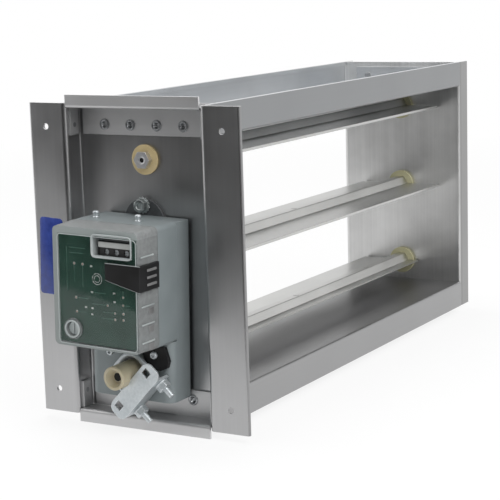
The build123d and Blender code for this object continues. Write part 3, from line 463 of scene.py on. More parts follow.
def green_board(name):
    """Solder resist with fine copper tracks under it."""
    material, tree, shader = start_material(name, {"Specular IOR Level": 0.3})
    place = tree.nodes.new("ShaderNodeTexCoord")
    mapping = tree.nodes.new("ShaderNodeMapping")
    mapping.inputs["Rotation"].default_value = (math.radians(90), 0.0, math.radians(90))
    tracks = tree.nodes.new("ShaderNodeTexBrick")
    tracks.inputs["Scale"].default_value = 90.0
    tracks.inputs["Mortar Size"].default_value = 0.025
    tracks.inputs["Brick Width"].default_value = 1.1
    tracks.inputs["Row Height"].default_value = 0.22
    tree.links.new(place.outputs["Object"], mapping.inputs["Vector"])
    tree.links.new(mapping.outputs["Vector"], tracks.inputs["Vector"])
    clouds = noise(tree, 60.0, detail=4.0)
    resist = colors(tree, clouds, [(0.3, (0.014, 0.046, 0.032)), (0.7, (0.026, 0.070, 0.050))])
    masked = calculate(tree, "MULTIPLY", tracks.outputs["Fac"], spread(tree, clouds, 0.0, 0.5, 0.45, 0.6))
    tree.links.new(mixed(tree, masked, resist, (0.032, 0.082, 0.058)), shader.inputs["Base Color"])
    tree.links.new(spread(tree, clouds, 0.30, 0.45), shader.inputs["Roughness"])
    tree.links.new(bumped(tree, tracks.outputs["Fac"], 0.004 * MM), shader.inputs["Normal"])
    return material


def printed_film(name):
    """Glossy blue film with faint mottling and pale worn edges."""
    material, tree, shader = start_material(name, {"Coat Weight": 0.3, "Coat Roughness": 0.2})
    mottle = noise(tree, 160.0, detail=5.0)
    normal, edges = rounded_edges(tree, 0.5 * MM)
    ink = colors(tree, mottle, [(0.3, (0.012, 0.030, 0.190)), (0.7, (0.022, 0.052, 0.290))])
    worn = calculate(tree, "MULTIPLY", edges, spread(tree, mottle, 0.0, 1.0, 0.48, 0.62))
    tree.links.new(mixed(tree, worn, ink, (0.45, 0.48, 0.60)), shader.inputs["Base Color"])
    tree.links.new(spread(tree, mottle, 0.30, 0.48), shader.inputs["Roughness"])
    tree.links.new(bumped(tree, mottle, 0.02 * MM, normal), shader.inputs["Normal"])
    return material


ALONG_X = (5, 420, 420)
ALONG_Y = (420, 5, 420)
ALONG_Z = (420, 420, 5)
SHEET_DARK = (0.44, 0.44, 0.445)
SHEET_LIGHT = (0.52, 0.52, 0.525)
# Edge tone of the sheets: painted highlight.
SHEET_EDGE_HIGHLIGHT = (0.55, 0.55, 0.555)
# Sill channel tones: a darker copy of the sheet colour, painted shade.
SHADED_CHANNEL_DARK = (0.29, 0.29, 0.293)
SHADED_CHANNEL_LIGHT = (0.35, 0.35, 0.353)

SHEET_ROUGHNESS = 0.335
FAR_ROUGHNESS = 0.345
CAP_ROUGHNESS = 0.52

jamb_sheet = rolled_metal(
    "rolled_sheet_upright", ALONG_Z, SHEET_DARK, SHEET_LIGHT, SHEET_ROUGHNESS, SHEET_EDGE_HIGHLIGHT, outer_shade_tone=0.6
)
head_sheet = rolled_metal(
    "rolled_sheet_head",
    ALONG_X,
    (0.54, 0.555, 0.57),
    (0.61, 0.625, 0.64),
    SHEET_ROUGHNESS,
    SHEET_EDGE_HIGHLIGHT,
    outer_shade_tone=0.48,
)
shaded_channel_sheet = rolled_metal(
    "rolled_sheet_lengthwise_shaded", ALONG_X, SHADED_CHANNEL_DARK, SHADED_CHANNEL_LIGHT, SHEET_ROUGHNESS, SHEET_EDGE_HIGHLIGHT
)
cap_sheet = rolled_metal(
    "rolled_sheet_crosswise", ALONG_Y, (0.60, 0.60, 0.605), (0.68, 0.68, 0.685), CAP_ROUGHNESS, SHEET_EDGE_HIGHLIGHT
)
# Far jamb: a lighter copy of the sheet colour, painted light on its web.
lit_far_sheet = rolled_metal(
    "rolled_sheet_far_lit",
    ALONG_Z,
    (0.56, 0.56, 0.555),
    (0.80, 0.80, 0.795),
    FAR_ROUGHNESS,
    SHEET_EDGE_HIGHLIGHT,
    outer_shade_tone=0.40,
)
pressed_sheet = rolled_metal(
    "pressed_sheet", ALONG_Y, (0.30, 0.31, 0.32), (0.36, 0.37, 0.38), FAR_ROUGHNESS, (0.5, 0.5, 0.5)
)
# Blades: the near-black edge tone is a painted shade line along their edges.
blade_sheet = rolled_metal(
    "bright_blade_sheet",
    ALONG_X,
    (0.48, 0.48, 0.47),
    (0.60, 0.60, 0.585),
    SHEET_ROUGHNESS,
    (0.14, 0.14, 0.14),
)
drawn_bar = rolled_metal(
    "drawn_bar", ALONG_X, (0.62, 0.62, 0.63), (0.74, 0.74, 0.75), 0.42, (0.85, 0.85, 0.86)
)
sintered = plated_steel("sintered_gear", (0.20, 0.20, 0.20), (0.32, 0.32, 0.32), 0.45)
zinc = plated_steel("zinc_plate", (0.46, 0.50, 0.52), (0.63, 0.67, 0.69), 0.38, 0.6)
screw_steel = plated_steel(
    "screw_steel", (0.16, 0.18, 0.18), (0.58, 0.62, 0.62), 0.34, edge=(0.7, 0.73, 0.73)
)
# Tab: a dark copy of the plated steel, painted shade, with its edge set near its own tone.
shaded_tab_steel = plated_steel(
    "shaded_zinc_tab", (0.12, 0.125, 0.13), (0.17, 0.175, 0.18), 0.48, edge=(0.14, 0.145, 0.15)
)
housing = moulded("grey_housing", (0.190, 0.218, 0.224), (0.216, 0.245, 0.252), 0.42, 0.010 * MM)
nylon = moulded(
    "natural_nylon",
    (0.37, 0.325, 0.215),
    (0.47, 0.42, 0.30),
    0.42,
    0.008 * MM,
    {"Subsurface Weight": 0.25, "Subsurface Radius": (0.004, 0.003, 0.0015)},
)
bush_nylon = moulded("bush_nylon", (0.33, 0.315, 0.185), (0.43, 0.41, 0.26), 0.45, 0.008 * MM)
bush_tan = moulded("bush_tan", (0.46, 0.36, 0.18), (0.57, 0.46, 0.26), 0.45, 0.008 * MM)
gear_plastic = moulded("gear_plastic", (0.72, 0.68, 0.55), (0.82, 0.78, 0.66), 0.4, 0.006 * MM)
black_plastic = moulded(
    "black_plastic",
    (0.008, 0.008, 0.008),
    (0.015, 0.015, 0.016),
    0.48,
    0.012 * MM,
    {"Specular IOR Level": 0.25},
)
# Mid-grey plastic: painted highlights on the boot's ribs and painted shade on the cover's side.
highlight_and_shade_plastic = moulded("highlight_and_shade_plastic", (0.13, 0.13, 0.13), (0.20, 0.20, 0.20), 0.35, 0.008 * MM)
terminal_plastic = moulded("terminal_plastic", (0.018, 0.018, 0.018), (0.035, 0.035, 0.035), 0.42, 0.010 * MM)
ledge_plastic = moulded("ledge_plastic", (0.30, 0.31, 0.30), (0.40, 0.41, 0.40), 0.42, 0.010 * MM)
rim_and_glint_plastic = moulded("rim_and_glint_plastic", (0.30, 0.33, 0.33), (0.42, 0.45, 0.45), 0.22, 0.006 * MM)
solder = plated_steel("solder", (0.60, 0.58, 0.55), (0.80, 0.78, 0.75), 0.30)
copper_pad = plated_steel("copper_pad", (0.48, 0.26, 0.17), (0.62, 0.36, 0.25), 0.35)
cover_plastic = clear_plastic("clear_cover")
board_resist = green_board("board_resist")
track_resist = moulded("track_resist", (0.030, 0.085, 0.062), (0.045, 0.115, 0.085), 0.35, 0.004 * MM)
film = printed_film("blue_film")

NODE_MATERIALS = {
    "near_jamb": jamb_sheet,
    "far_jamb": lit_far_sheet,
    "head_channel": head_sheet,
    "sill_channel": shaded_channel_sheet,
    "end_cap_top": cap_sheet,
    "end_cap_bottom": cap_sheet,
    "frame_rivets": pressed_sheet,
    "actuator_base": housing,
    "actuator_body": housing,
    "actuator_cover": cover_plastic,
    "cover_screw": rim_and_glint_plastic,
    "circuit_board": board_resist,
    "board_parts": black_plastic,
    "terminal_block": terminal_plastic,
    "terminal_screws": zinc,
    "wire_boot": black_plastic,
    "motor_can": drawn_bar,
    "motor_pinion": sintered,
    "idler_gear": gear_plastic,
    "idler_pin": drawn_bar,
    "end_stop": black_plastic,
    "end_stop_screws": zinc,
    "anti_rotation_tab": shaded_tab_steel,
    "tab_screw": zinc,
    "tie_bar": zinc,
    "axle_hub": nylon,
    "output_gear": sintered,
    "u_bolt": zinc,
    "clamp_yoke": zinc,
    "clamp_nuts": zinc,
}
for which in BLADES:
    NODE_MATERIALS["blade_" + which] = blade_sheet
    NODE_MATERIALS["blade_rivets_" + which] = blade_sheet
    NODE_MATERIALS["axle_" + which] = drawn_bar
    NODE_MATERIALS["near_bush_" + which] = bush_tan
    NODE_MATERIALS["far_bush_" + which] = bush_nylon
    NODE_MATERIALS["crank_" + which] = zinc
for name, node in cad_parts.items():
    node.data.materials.clear()
    node.data.materials.append(NODE_MATERIALS[name])

# Small hardware

# Clinch joints and rivets of the frame
CLINCH_Y = (-36.9 * MM, -12.3 * MM, 12.3 * MM, 36.9 * MM)
CLINCH_Z = 109 * MM
CLINCH_FRONT = 17.3 * MM
CLINCH_BACK = 23.3 * MM
CLINCH_R = 4.5 * MM
FAR_WEB = (498.8 * MM, 502.8 * MM)
FAR_RIVET_Y = 36.9 * MM
FAR_RIVET_Z = 113 * MM
EAR_RIVET_X = 9.65 * MM
EAR_IN = 60.5 * MM
EAR_OUT = 66.5 * MM
RIVET_R = 3.6 * MM
RIVET_RISE = 1.2 * MM
FAR_RIVET_RISE = 0.5 * MM
SHANK_R = 2.0 * MM


def dome(radius, rise, steps=5):
    """Profile of a low round head from its rim to its top."""
    ball = (radius * radius + rise * rise) / (2 * rise)
    reach = math.asin(min(1.0, radius / ball))
    profile = []
    for step in range(steps, 0, -1):
        angle = reach * step / steps
        profile.append((ball * math.sin(angle), ball * math.cos(angle) - (ball - rise)))
    profile.append((SMALL_R, rise))
    return profile


def frame_rivet_shape():
    """Dished clinch buttons at the near web, round-headed rivets elsewhere."""
    shape = Shape()
    through = CLINCH_BACK - CLINCH_FRONT
    button = [
        (1.0, 0.0),
        (1.0, 0.35),
        (0.93, 0.75),
        (0.80, 0.90),
        (0.66, 0.80),
        (0.54, 0.30),
        (0.42, -0.60),
        (0.28, -1.30),
        (0.001, -1.50),
    ]
    for end in SIDES:
        for y in CLINCH_Y:
            front = placed((CLINCH_FRONT, y, end * CLINCH_Z), FRONT)
            shape.lathe(front, [(0.5 * CLINCH_R, -through)] + [(CLINCH_R * r, h * MM) for r, h in button])
            back = placed((CLINCH_BACK, y, end * CLINCH_Z), -FRONT)
            shape.lathe(back, dome(RIVET_R, RIVET_RISE), 20)
        for side in SIDES:
            air = placed((FAR_WEB[0], side * FAR_RIVET_Y, end * FAR_RIVET_Z), FRONT)
            shape.lathe(air, [(SHANK_R, FAR_WEB[0] - FAR_WEB[1])] + dome(RIVET_R, FAR_RIVET_RISE), 20)
            outer = placed((FAR_WEB[1], side * FAR_RIVET_Y, end * FAR_RIVET_Z), -FRONT)
            shape.lathe(outer, dome(RIVET_R, RIVET_RISE), 20)
            ear = placed((EAR_RIVET_X, side * EAR_OUT, end * CLINCH_Z), (0, side, 0))
            shape.lathe(ear, [(SHANK_R, EAR_IN - EAR_OUT)] + dome(RIVET_R, RIVET_RISE), 20)
    return shape


rivets = piece("frame_rivet_heads", frame_rivet_shape(), "frame", pressed_sheet)
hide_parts("frame_rivets")

# Low rivet heads on the beads of the blades
BLADE_RIVET_R = 2.6 * MM
BLADE_RIVET_RISE = 0.3 * MM
BLADE_SHANK_R = 0.5 * BLADE_RIVET_R
SHANK_SINK = 0.05 * MM

for which in BLADES:
    low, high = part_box("blade_rivets_" + which)
    bead_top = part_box("blade_" + which)[1].z
    heads = Shape()
    first_x = low.x + BLADE_RIVET_R
    last_x = high.x - BLADE_RIVET_R
    for x in (first_x, (first_x + last_x) / 2, last_x):
        head_at = placed((x, 0, bead_top), UP, FRONT)
        foot = [(BLADE_SHANK_R, low.z - bead_top), (BLADE_SHANK_R, -SHANK_SINK)]
        heads.lathe(head_at, foot + dome(BLADE_RIVET_R, BLADE_RIVET_RISE), 24)
    body = "drive_blade" if which == "bottom" else which + "_blade"
    blade_heads = piece("blade_rivet_heads_" + which, heads, body, blade_sheet)
    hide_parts("blade_rivets_" + which)

# Clamp on the drive hub: its legs run down and outwards in a plane square to the axle
CLAMP_TILT = math.radians(43)
U_BOLT_PLANE = -16.5 * MM
LEG_OFFSET = 15.6 * MM
LEG_R = 2.2 * MM
LEG_END = 39.0 * MM
YOKE_FACE = 25.3 * MM
NUT_FLATS = 9.5 * MM
NUT_HEIGHT = 4.5 * MM
NUT_WASHER_R = 5.8 * MM
NUT_WASHER = 1.2 * MM
THREAD_PITCH = 0.9 * MM
THREAD_RISE = 0.22 * MM
THREAD_RUNOUT = 0.4 * MM

leg_along = Vector((0, -math.cos(CLAMP_TILT), -math.sin(CLAMP_TILT)))
leg_across = FRONT.cross(leg_along)
clamp_middle = Vector((U_BOLT_PLANE, 0, drive_z))


def leg_point(along, side):
    """Point on a leg's middle line."""
    return clamp_middle + leg_along * along + leg_across * (side * LEG_OFFSET)


def helix(start, axis, radius, pitch, turns, steps=20):
    """Points of a thread's crest around an axis."""
    across = axis.orthogonal().normalized()
    other = axis.cross(across)
    path = []
    for i in range(int(turns * steps) + 1):
        angle = 2 * math.pi * i / steps
        outwards = math.cos(angle) * across + math.sin(angle) * other
        path.append(start + axis * (pitch * i / steps) + radius * outwards)
    return path


def washer(radius, thickness, bore):
    """Profile of a flat washer with rounded rims."""
    rim = 0.3 * thickness
    return [
        (bore, 0),
        (radius - rim, 0),
        (radius, rim),
        (radius, thickness - rim),
        (radius - rim, thickness),
        (bore, thickness),
    ]


nuts = Shape()
threads = Shape()
nut_seat = YOKE_FACE + NUT_WASHER
for side in SIDES:
    nuts.lathe(placed(leg_point(YOKE_FACE, side), leg_along, FRONT), washer(NUT_WASHER_R, NUT_WASHER, LEG_R))
    nuts.hex_nut(placed(leg_point(nut_seat, side), leg_along, FRONT), NUT_FLATS, NUT_HEIGHT, LEG_R)
    thread_start = nut_seat + NUT_HEIGHT - THREAD_PITCH
    turns = (LEG_END - thread_start - THREAD_RUNOUT) / THREAD_PITCH
    crest = helix(leg_point(thread_start, side), leg_along, LEG_R, THREAD_PITCH, turns)
    threads.tube(crest, THREAD_RISE, 6)
nut_piece = piece("clamp_hex_nuts", nuts, "drive_blade", zinc)
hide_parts("clamp_nuts")
piece("u_bolt_threads", threads, "drive_blade", zinc)

# Hex screw of the tab, on a toothed washer
TAB_SCREW_Y = 2.2 * MM
TAB_SCREW_Z = 46.0 * MM
TAB_FACE = 16.4 * MM
TAB_WASHER_R = 6.0 * MM
TAB_WASHER = 1.2 * MM
TAB_TEETH = 14
TAB_TOOTH_TIP = 1.14
TAB_TOOTH_ROOT = 0.94
TAB_FLATS = 9.6 * MM
TAB_HEAD = 5.6 * MM
TAB_BORE_R = 0.3 * TAB_FLATS
TAB_DISH_R = 0.31 * TAB_FLATS
TAB_DISH_RIM = 0.8 * MM
TAB_DISH_MIDDLE = 1.1 * MM

tab_screw = Shape()
tab_at = placed((TAB_FACE, TAB_SCREW_Y, TAB_SCREW_Z), FRONT)
star = [[] for _ in range(4)]
for i in range(2 * TAB_TEETH):
    angle = math.pi * i / TAB_TEETH
    tip = TAB_WASHER_R * (TAB_TOOTH_TIP if i % 2 else TAB_TOOTH_ROOT)
    lift = 0.5 * TAB_WASHER * (i % 2)
    levels = ((TAB_BORE_R, 0), (tip, lift), (tip, lift + TAB_WASHER), (TAB_BORE_R, TAB_WASHER))
    for ring, (radius, level) in zip(star, levels):
        ring.append(tab_at @ Vector((radius * math.cos(angle), radius * math.sin(angle), level)))
tab_screw.skin(star, looped=True)
head_at = tab_at @ Matrix.Translation((0, 0, TAB_WASHER))
tab_screw.hex_nut(head_at, TAB_FLATS, TAB_HEAD, TAB_BORE_R)
dish = [(TAB_DISH_R, 0), (TAB_DISH_R, TAB_HEAD - TAB_DISH_RIM), (SMALL_R, TAB_HEAD - TAB_DISH_MIDDLE)]
tab_screw.lathe(head_at, dish)
tab_screw_piece = piece("tab_hex_screw", tab_screw, "frame", screw_steel)
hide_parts("tab_screw")

# Screws at the stops: depth, side, rise over the drive axle and standoff
STOP_SCREWS = (
    (-13.4 * MM, -21.7 * MM, 15.8 * MM, 0.0),
    (-10.0 * MM, 17.0 * MM, 15.0 * MM, 7.0 * MM),
)
STOP_SCREW_R = 3.0 * MM
STOP_SCREW_HEAD = 2.4 * MM
HEX_SOCKET_R = 1.5 * MM
STOP_SHANK_R = 1.9 * MM

stop_screws = Shape()
for x, y, rise, standoff in STOP_SCREWS:
    shank = []
    for turn in range(int(standoff / THREAD_PITCH)):
        shank.append((STOP_SHANK_R, turn * THREAD_PITCH))
        shank.append((STOP_SHANK_R + THREAD_RISE, (turn + 0.5) * THREAD_PITCH))
    head = [
        (STOP_SCREW_R, 0),
        (STOP_SCREW_R, 0.55 * STOP_SCREW_HEAD),
        (0.94 * STOP_SCREW_R, 0.82 * STOP_SCREW_HEAD),
        (0.78 * STOP_SCREW_R, STOP_SCREW_HEAD),
        (HEX_SOCKET_R, STOP_SCREW_HEAD),
        (0.9 * HEX_SOCKET_R, 0.45 * STOP_SCREW_HEAD),
        (SMALL_R, 0.35 * STOP_SCREW_HEAD),
    ]
    profile = shank + [(radius, standoff + level) for radius, level in head]
    stop_screws.lathe(train_seat @ placed((x, y, drive_z + rise), FRONT), profile, 24)
stop_screw_piece = piece("stop_socket_screws", stop_screws, "frame", zinc)
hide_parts("end_stop_screws")

# Studs on top of the actuator, with radius and height in millimetres
STUD_X = -14.0 * MM
STUD_Y = (-12.5 * MM, 27.0 * MM)
STUD_FOOT = 38.9 * MM
STUD_PROFILE = (
    (2.7, -0.2),
    (2.7, 0.5),
    (1.9, 0.7),
    (1.9, 2.9),
    (2.5, 3.2),
    (2.6, 4.0),
    (2.2, 4.8),
    (1.2, 5.2),
    (0.01, 5.3),
)

studs = Shape()
stud_profile = [(radius * MM, height * MM) for radius, height in STUD_PROFILE]
for y in STUD_Y:
    studs.lathe(body_seat @ placed((STUD_X, y, STUD_FOOT), UP, FRONT), stud_profile, 24)
piece("body_studs", studs, "frame", zinc)

# Countersunk sockets in the axle ends: a bright ring around a dark hole, the hole filled with a black plug as
# painted shade of its depth
SOCKET_R = 3.05 * MM
SOCKET_HOLE_R = 2.0 * MM
SOCKET_DEPTH = 5.8 * MM
RING_DEPTH = 1.5 * MM
RING_OUTER_SINK = 0.1 * MM
RING_INNER_SINK = 0.5 * MM
HOLE_SINK = 0.8 * MM

ring_profile = [
    (SOCKET_R, -RING_DEPTH),
    (SOCKET_R, -RING_OUTER_SINK),
    (SOCKET_HOLE_R, -RING_INNER_SINK),
    (SOCKET_HOLE_R, -RING_DEPTH),
]
hole_profile = [(SOCKET_HOLE_R, -HOLE_SINK), (0.9 * SOCKET_HOLE_R, -SOCKET_DEPTH), (SMALL_R, -SOCKET_DEPTH)]
for which in BLADES[1:]:
    axle_low, axle_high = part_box("axle_" + which)
    mouth = placed((axle_low.x, 0, (axle_low.z + axle_high.z) / 2), FRONT)
    ring = Shape()
    ring.lathe(mouth, ring_profile)
    piece("axle_socket_ring_" + which, ring, which + "_blade", drawn_bar)
    # Black plug in the socket: painted shade.
    hole = Shape()
    hole.lathe(mouth, hole_profile, 24)
    piece("axle_socket_hole_shade_" + which, hole, which + "_blade", black_plastic)

# Black ring at the floor of the hub's dish: painted shade of the dish and bore
HUB_DISH = 6.4 * MM
HUB_SHADE_R = 3.3 * MM
HUB_BORE_R = 2.35 * MM
HUB_SHADE_SHEET = 0.5 * MM
HUB_SHADE_LIFT = 0.05 * MM

dish_at = placed((hub_low.x + HUB_DISH - HUB_SHADE_LIFT, 0, drive_z), FRONT)
shade_ring = Shape()
shade_ring.lathe(dish_at, washer(HUB_SHADE_R, HUB_SHADE_SHEET, HUB_BORE_R))
piece("hub_dish_shade", shade_ring, "drive_blade", black_plastic)

# Blue film on the rear flange, plain
FILM_Y = 83.0 * MM
FILM_Z = 2.6 * MM
FILM_WIDTH = 22.6 * MM
FILM_HEIGHT = 63.5 * MM
FILM_SHEET = 0.15 * MM
FILM_CORNER = 3.0 * MM
FILM_TURN = math.radians(2.9)

film_shape = Shape()
film_up = (0, -math.sin(FILM_TURN), math.cos(FILM_TURN))
film_at = placed((0, FILM_Y, FILM_Z), FRONT, film_up)
film_shape.slab(film_at, FILM_WIDTH, FILM_HEIGHT, FILM_CORNER, FILM_SHEET, edge=0.08 * MM)
piece("flange_film", film_shape, "frame", film)

# Trim of the cover: rims around its window and screw, ribs on its outer side, and thin light tubes along the
# boot notch and round the front as painted highlights
WINDOW_Y = (-33.3 * MM, 1.8 * MM)
WINDOW_Z = (17.3 * MM, 33.9 * MM)
WINDOW_CORNER = 3.0 * MM
RIM_R = 0.6 * MM
COVER_SCREW_Y = 21.8 * MM
COVER_SCREW_Z = -41.4 * MM
SCREW_RING_R = 6.4 * MM
SCREW_RING_BAR_R = 0.8 * MM
SIDE_Y = -39.4 * MM
SIDE_RIB_X = -43.0 * MM
SIDE_RIB_Z = (-19.0 * MM, -33.0 * MM, -47.0 * MM, 19.0 * MM)
SIDE_RIB_LENGTH = 17.0 * MM
SIDE_RIB_HEIGHT = 1.3 * MM
SIDE_SLOT_X = -38.0 * MM
SIDE_SLOT_LENGTH = 8.0 * MM
SIDE_SLOT_HEIGHT = 5.0 * MM
SIDE_SLOT_DROP = -4.6 * MM
NOTCH_CORNERS = ((-41.4, -7.0), (-10.3, 0.1), (-10.3, 12.9), (-41.4, 12.9))
NOTCH_GLINT_R = 0.4 * MM
GLINT_Y = (-38.0 * MM, 34.0 * MM)
GLINT_Z = (-53.0 * MM, 32.3 * MM)
GLINT_R = 0.3 * MM


def ring_path(middle_y, middle_z, width, height, corner, x):
    """Closed path around a rounded rectangle on the front of the actuator."""
    at = body_seat @ placed((x, middle_y, middle_z), FRONT)
    return [at @ Vector((u, v, 0)) for u, v in rounded_rect(width, height, corner, 8)]


window_middle = (sum(WINDOW_Y) / 2, sum(WINDOW_Z) / 2)
window_size = (WINDOW_Y[1] - WINDOW_Y[0], WINDOW_Z[1] - WINDOW_Z[0])
cover_trim = Shape()
rim_size = (window_size[0] + RIM_R, window_size[1] + RIM_R)
cover_trim.tube(ring_path(*window_middle, *rim_size, WINDOW_CORNER, cover_x), RIM_R, 10, looped=True)
ring_size = 2 * SCREW_RING_R
ring = ring_path(COVER_SCREW_Y, COVER_SCREW_Z, ring_size, ring_size, SCREW_RING_R - SMALL_R, cover_x)
cover_trim.tube(ring, SCREW_RING_BAR_R, 10, looped=True)
for z in SIDE_RIB_Z:
    rib_at = body_seat @ placed((SIDE_RIB_X, SIDE_Y, z), OUTER)
    cover_trim.slab(
        rib_at, SIDE_RIB_LENGTH, SIDE_RIB_HEIGHT, corner=0.5 * MM, thickness=0.7 * MM, edge=0.3 * MM
    )
# Light tube along the boot notch's edge: painted highlight.
notch = [body_seat @ Vector((cover_x, y * MM, z * MM)) for y, z in NOTCH_CORNERS]
cover_trim.tube(notch, NOTCH_GLINT_R, 8)
# Light tube round the clear front at the frost's border: painted highlight.
glint_size = (GLINT_Y[1] - GLINT_Y[0], GLINT_Z[1] - GLINT_Z[0])
glint = ring_path(sum(GLINT_Y) / 2, sum(GLINT_Z) / 2, *glint_size, WINDOW_CORNER, cover_x)
cover_trim.tube(glint, GLINT_R, 8, looped=True)
piece("cover_rims_and_glints", cover_trim, "frame", rim_and_glint_plastic)

# Thin dark pads beside the side ribs: painted shade of the recesses there.
recess_shades = Shape()
for z in SIDE_RIB_Z[:3]:
    slot_at = body_seat @ placed((SIDE_SLOT_X, SIDE_Y, z + SIDE_SLOT_DROP), OUTER)
    recess_shades.slab(
        slot_at, SIDE_SLOT_LENGTH, SIDE_SLOT_HEIGHT, corner=0.6 * MM, thickness=0.2 * MM, edge=0.1 * MM
    )
piece("cover_side_slot_shade", recess_shades, "frame", highlight_and_shade_plastic)

# Walls of the window's pocket
POCKET_DEPTH = 8.0 * MM
POCKET_LIP = 3.0 * MM
POCKET_WALL = 0.9 * MM
POCKET_CORNER = 0.3 * MM
POCKET_EDGE = 0.2 * MM

pocket = Shape()
wall_x = cover_x + POCKET_DEPTH / 2
rear_wall = body_seat @ placed((wall_x, WINDOW_Y[1] - POCKET_WALL, window_middle[1]), (0, 1, 0))
pocket.slab(rear_wall, POCKET_DEPTH, window_size[1], POCKET_CORNER, POCKET_WALL, POCKET_EDGE)
top_wall = body_seat @ placed((wall_x, window_middle[0], WINDOW_Z[1] - POCKET_WALL), UP, FRONT)
pocket.slab(top_wall, window_size[0], POCKET_DEPTH, POCKET_CORNER, POCKET_WALL, POCKET_EDGE)
sill = body_seat @ placed((cover_x + POCKET_LIP / 2, window_middle[0], WINDOW_Z[0]), UP, FRONT)
pocket.slab(sill, window_size[0], POCKET_LIP, POCKET_CORNER, POCKET_WALL, POCKET_EDGE)
piece("window_pocket", pocket, "frame", rim_and_glint_plastic)

# Grey ledge of the terminal strip
LEDGE_Y = (-33.0 * MM, -2.5 * MM)
LEDGE_Z = (24.5 * MM, 28.7 * MM)

ledge = Shape()
ledge_at = body_seat @ placed((board_x, sum(LEDGE_Y) / 2, sum(LEDGE_Z) / 2), FRONT)
ledge_size = (LEDGE_Y[1] - LEDGE_Y[0], LEDGE_Z[1] - LEDGE_Z[0])
ledge.slab(ledge_at, *ledge_size, corner=0.8 * MM, thickness=0.4 * MM, edge=0.2 * MM)
piece("terminal_ledge", ledge, "frame", ledge_plastic)

# Mid-grey bars on the boot's louvres: painted highlights on its ribs
BOOT_SIDE_Y = -42.2 * MM
LOUVRE_X = -41.0 * MM
LOUVRE_Z = (-2.2 * MM, 3.3 * MM, 8.8 * MM)
LOUVRE_LENGTH = 13.0 * MM
LOUVRE_HEIGHT = 2.0 * MM

louvre_glints = Shape()
for z in LOUVRE_Z:
    at = body_seat @ placed((LOUVRE_X, BOOT_SIDE_Y, z), OUTER)
    louvre_glints.slab(at, LOUVRE_LENGTH, LOUVRE_HEIGHT, corner=0.9 * MM, thickness=0.4 * MM, edge=0.25 * MM)
piece("boot_louvre_highlights", louvre_glints, "frame", highlight_and_shade_plastic)

# Solder side of the board: pads, chip parts and a trimmer, with places in millimetres
PAD_PLACES = ((20.2, 9.8), (12.3, 9.8), (19.1, -16.6), (18.6, -27.6))
CHIP_PLACES = (
    (4.3, 9.0),
    (4.1, -11.1),
    (10.0, -23.4),
    (3.9, -23.6),
    (4.1, -28.3),
    (-16.3, -10.1),
    (-16.6, -16.7),
)
COPPER_PLACES = (
    (-24.4, -12.4),
    (-10.1, -20.1),
    (-24.3, -18.6),
    (-16.7, -25.5),
    (-24.4, -25.2),
    (-16.7, -30.4),
    (-24.4, -30.0),
)
TRIMMER_PLACE = (-0.9, -0.5)
TRIMMER_RINGS = (4.3 * MM, 2.6 * MM)
TRIMMER_BAR_R = 0.2 * MM
TRIMMER_STEPS = 24
PAD_R = 1.1 * MM
COPPER_R = 1.0 * MM
PAD_RISE = 0.2 * MM
CHIP_WIDTH = 2.0 * MM
CHIP_HEIGHT = 1.4 * MM


def on_board(y, z):
    """Frame on the board's front face, with places in millimetres."""
    return body_seat @ placed((board_x, y * MM, z * MM), FRONT)


pads = Shape()
for y, z in PAD_PLACES:
    pads.lathe(on_board(y, z), dome(PAD_R, PAD_RISE), 16)
for y, z in COPPER_PLACES:
    pads.lathe(on_board(y, z), dome(COPPER_R, PAD_RISE), 16)
piece("board_copper_pads", pads, "frame", copper_pad)

chips = Shape()
for y, z in CHIP_PLACES:
    chips.slab(on_board(y, z), CHIP_WIDTH, CHIP_HEIGHT, 0.3 * MM, PAD_RISE, edge=0.08 * MM, steps=3)
trimmer_at = on_board(*TRIMMER_PLACE)
for radius in TRIMMER_RINGS:
    loop = []
    for step in range(TRIMMER_STEPS):
        angle = step / TRIMMER_STEPS * math.tau
        loop.append(trimmer_at @ Vector((radius * math.cos(angle), radius * math.sin(angle), 0)))
    chips.tube(loop, TRIMMER_BAR_R, 6, looped=True)
piece("board_chips", chips, "frame", solder)

# Raised tracks between the pads
TRACKS = (
    ((20.2, 9.8), (20.2, -4.0)),
    ((12.3, 9.8), (12.3, -8.0)),
    ((19.1, -16.6), (8.0, -16.6)),
    ((18.6, -27.6), (10.0, -27.6)),
    ((4.1, -11.1), (-8.0, -11.1)),
    ((-10.1, -20.1), (4.0, -20.1)),
    ((-16.7, -25.5), (-6.0, -25.5)),
    ((-16.7, -30.4), (-4.0, -30.4)),
    ((-24.4, -12.4), (-24.4, -8.0)),
    ((-24.3, -18.6), (-30.0, -18.6)),
    ((27.0, 22.0), (27.0, -12.0)),
    ((24.0, 22.0), (10.0, 22.0)),
    ((24.0, 18.0), (12.0, 18.0)),
)
TRACK_WIDTH = 0.7 * MM

tracks = Shape()
for start, end in TRACKS:
    middle = ((start[0] + end[0]) / 2, (start[1] + end[1]) / 2)
    width = abs(end[0] - start[0]) * MM + TRACK_WIDTH
    height = abs(end[1] - start[1]) * MM + TRACK_WIDTH
    tracks.slab(
        on_board(*middle), width, height, corner=0.3 * MM, thickness=0.08 * MM, edge=0.03 * MM, steps=2
    )
piece("board_tracks", tracks, "frame", track_resist)

# Studio


def area_light(name, place, aim, size, power):
    """Soft square lamp that points at a place."""
    data = bpy.data.lights.new(name, "AREA")
    data.size = size
    data.energy = power
    lamp = bpy.data.objects.new(name, data)
    lamp.location = place
    lamp.rotation_mode = "QUATERNION"
    lamp.rotation_quaternion = (Vector(aim) - Vector(place)).to_track_quat("-Z", "Y")
    bpy.context.scene.collection.objects.link(lamp)


def seen_directly(tree):
    """1 for camera, glossy and transmission rays."""
    path = tree.nodes.new("ShaderNodeLightPath")
    either = calculate(tree, "MAXIMUM", path.outputs["Is Camera Ray"], path.outputs["Is Glossy Ray"])
    return calculate(tree, "MAXIMUM", either, path.outputs["Is Transmission Ray"])


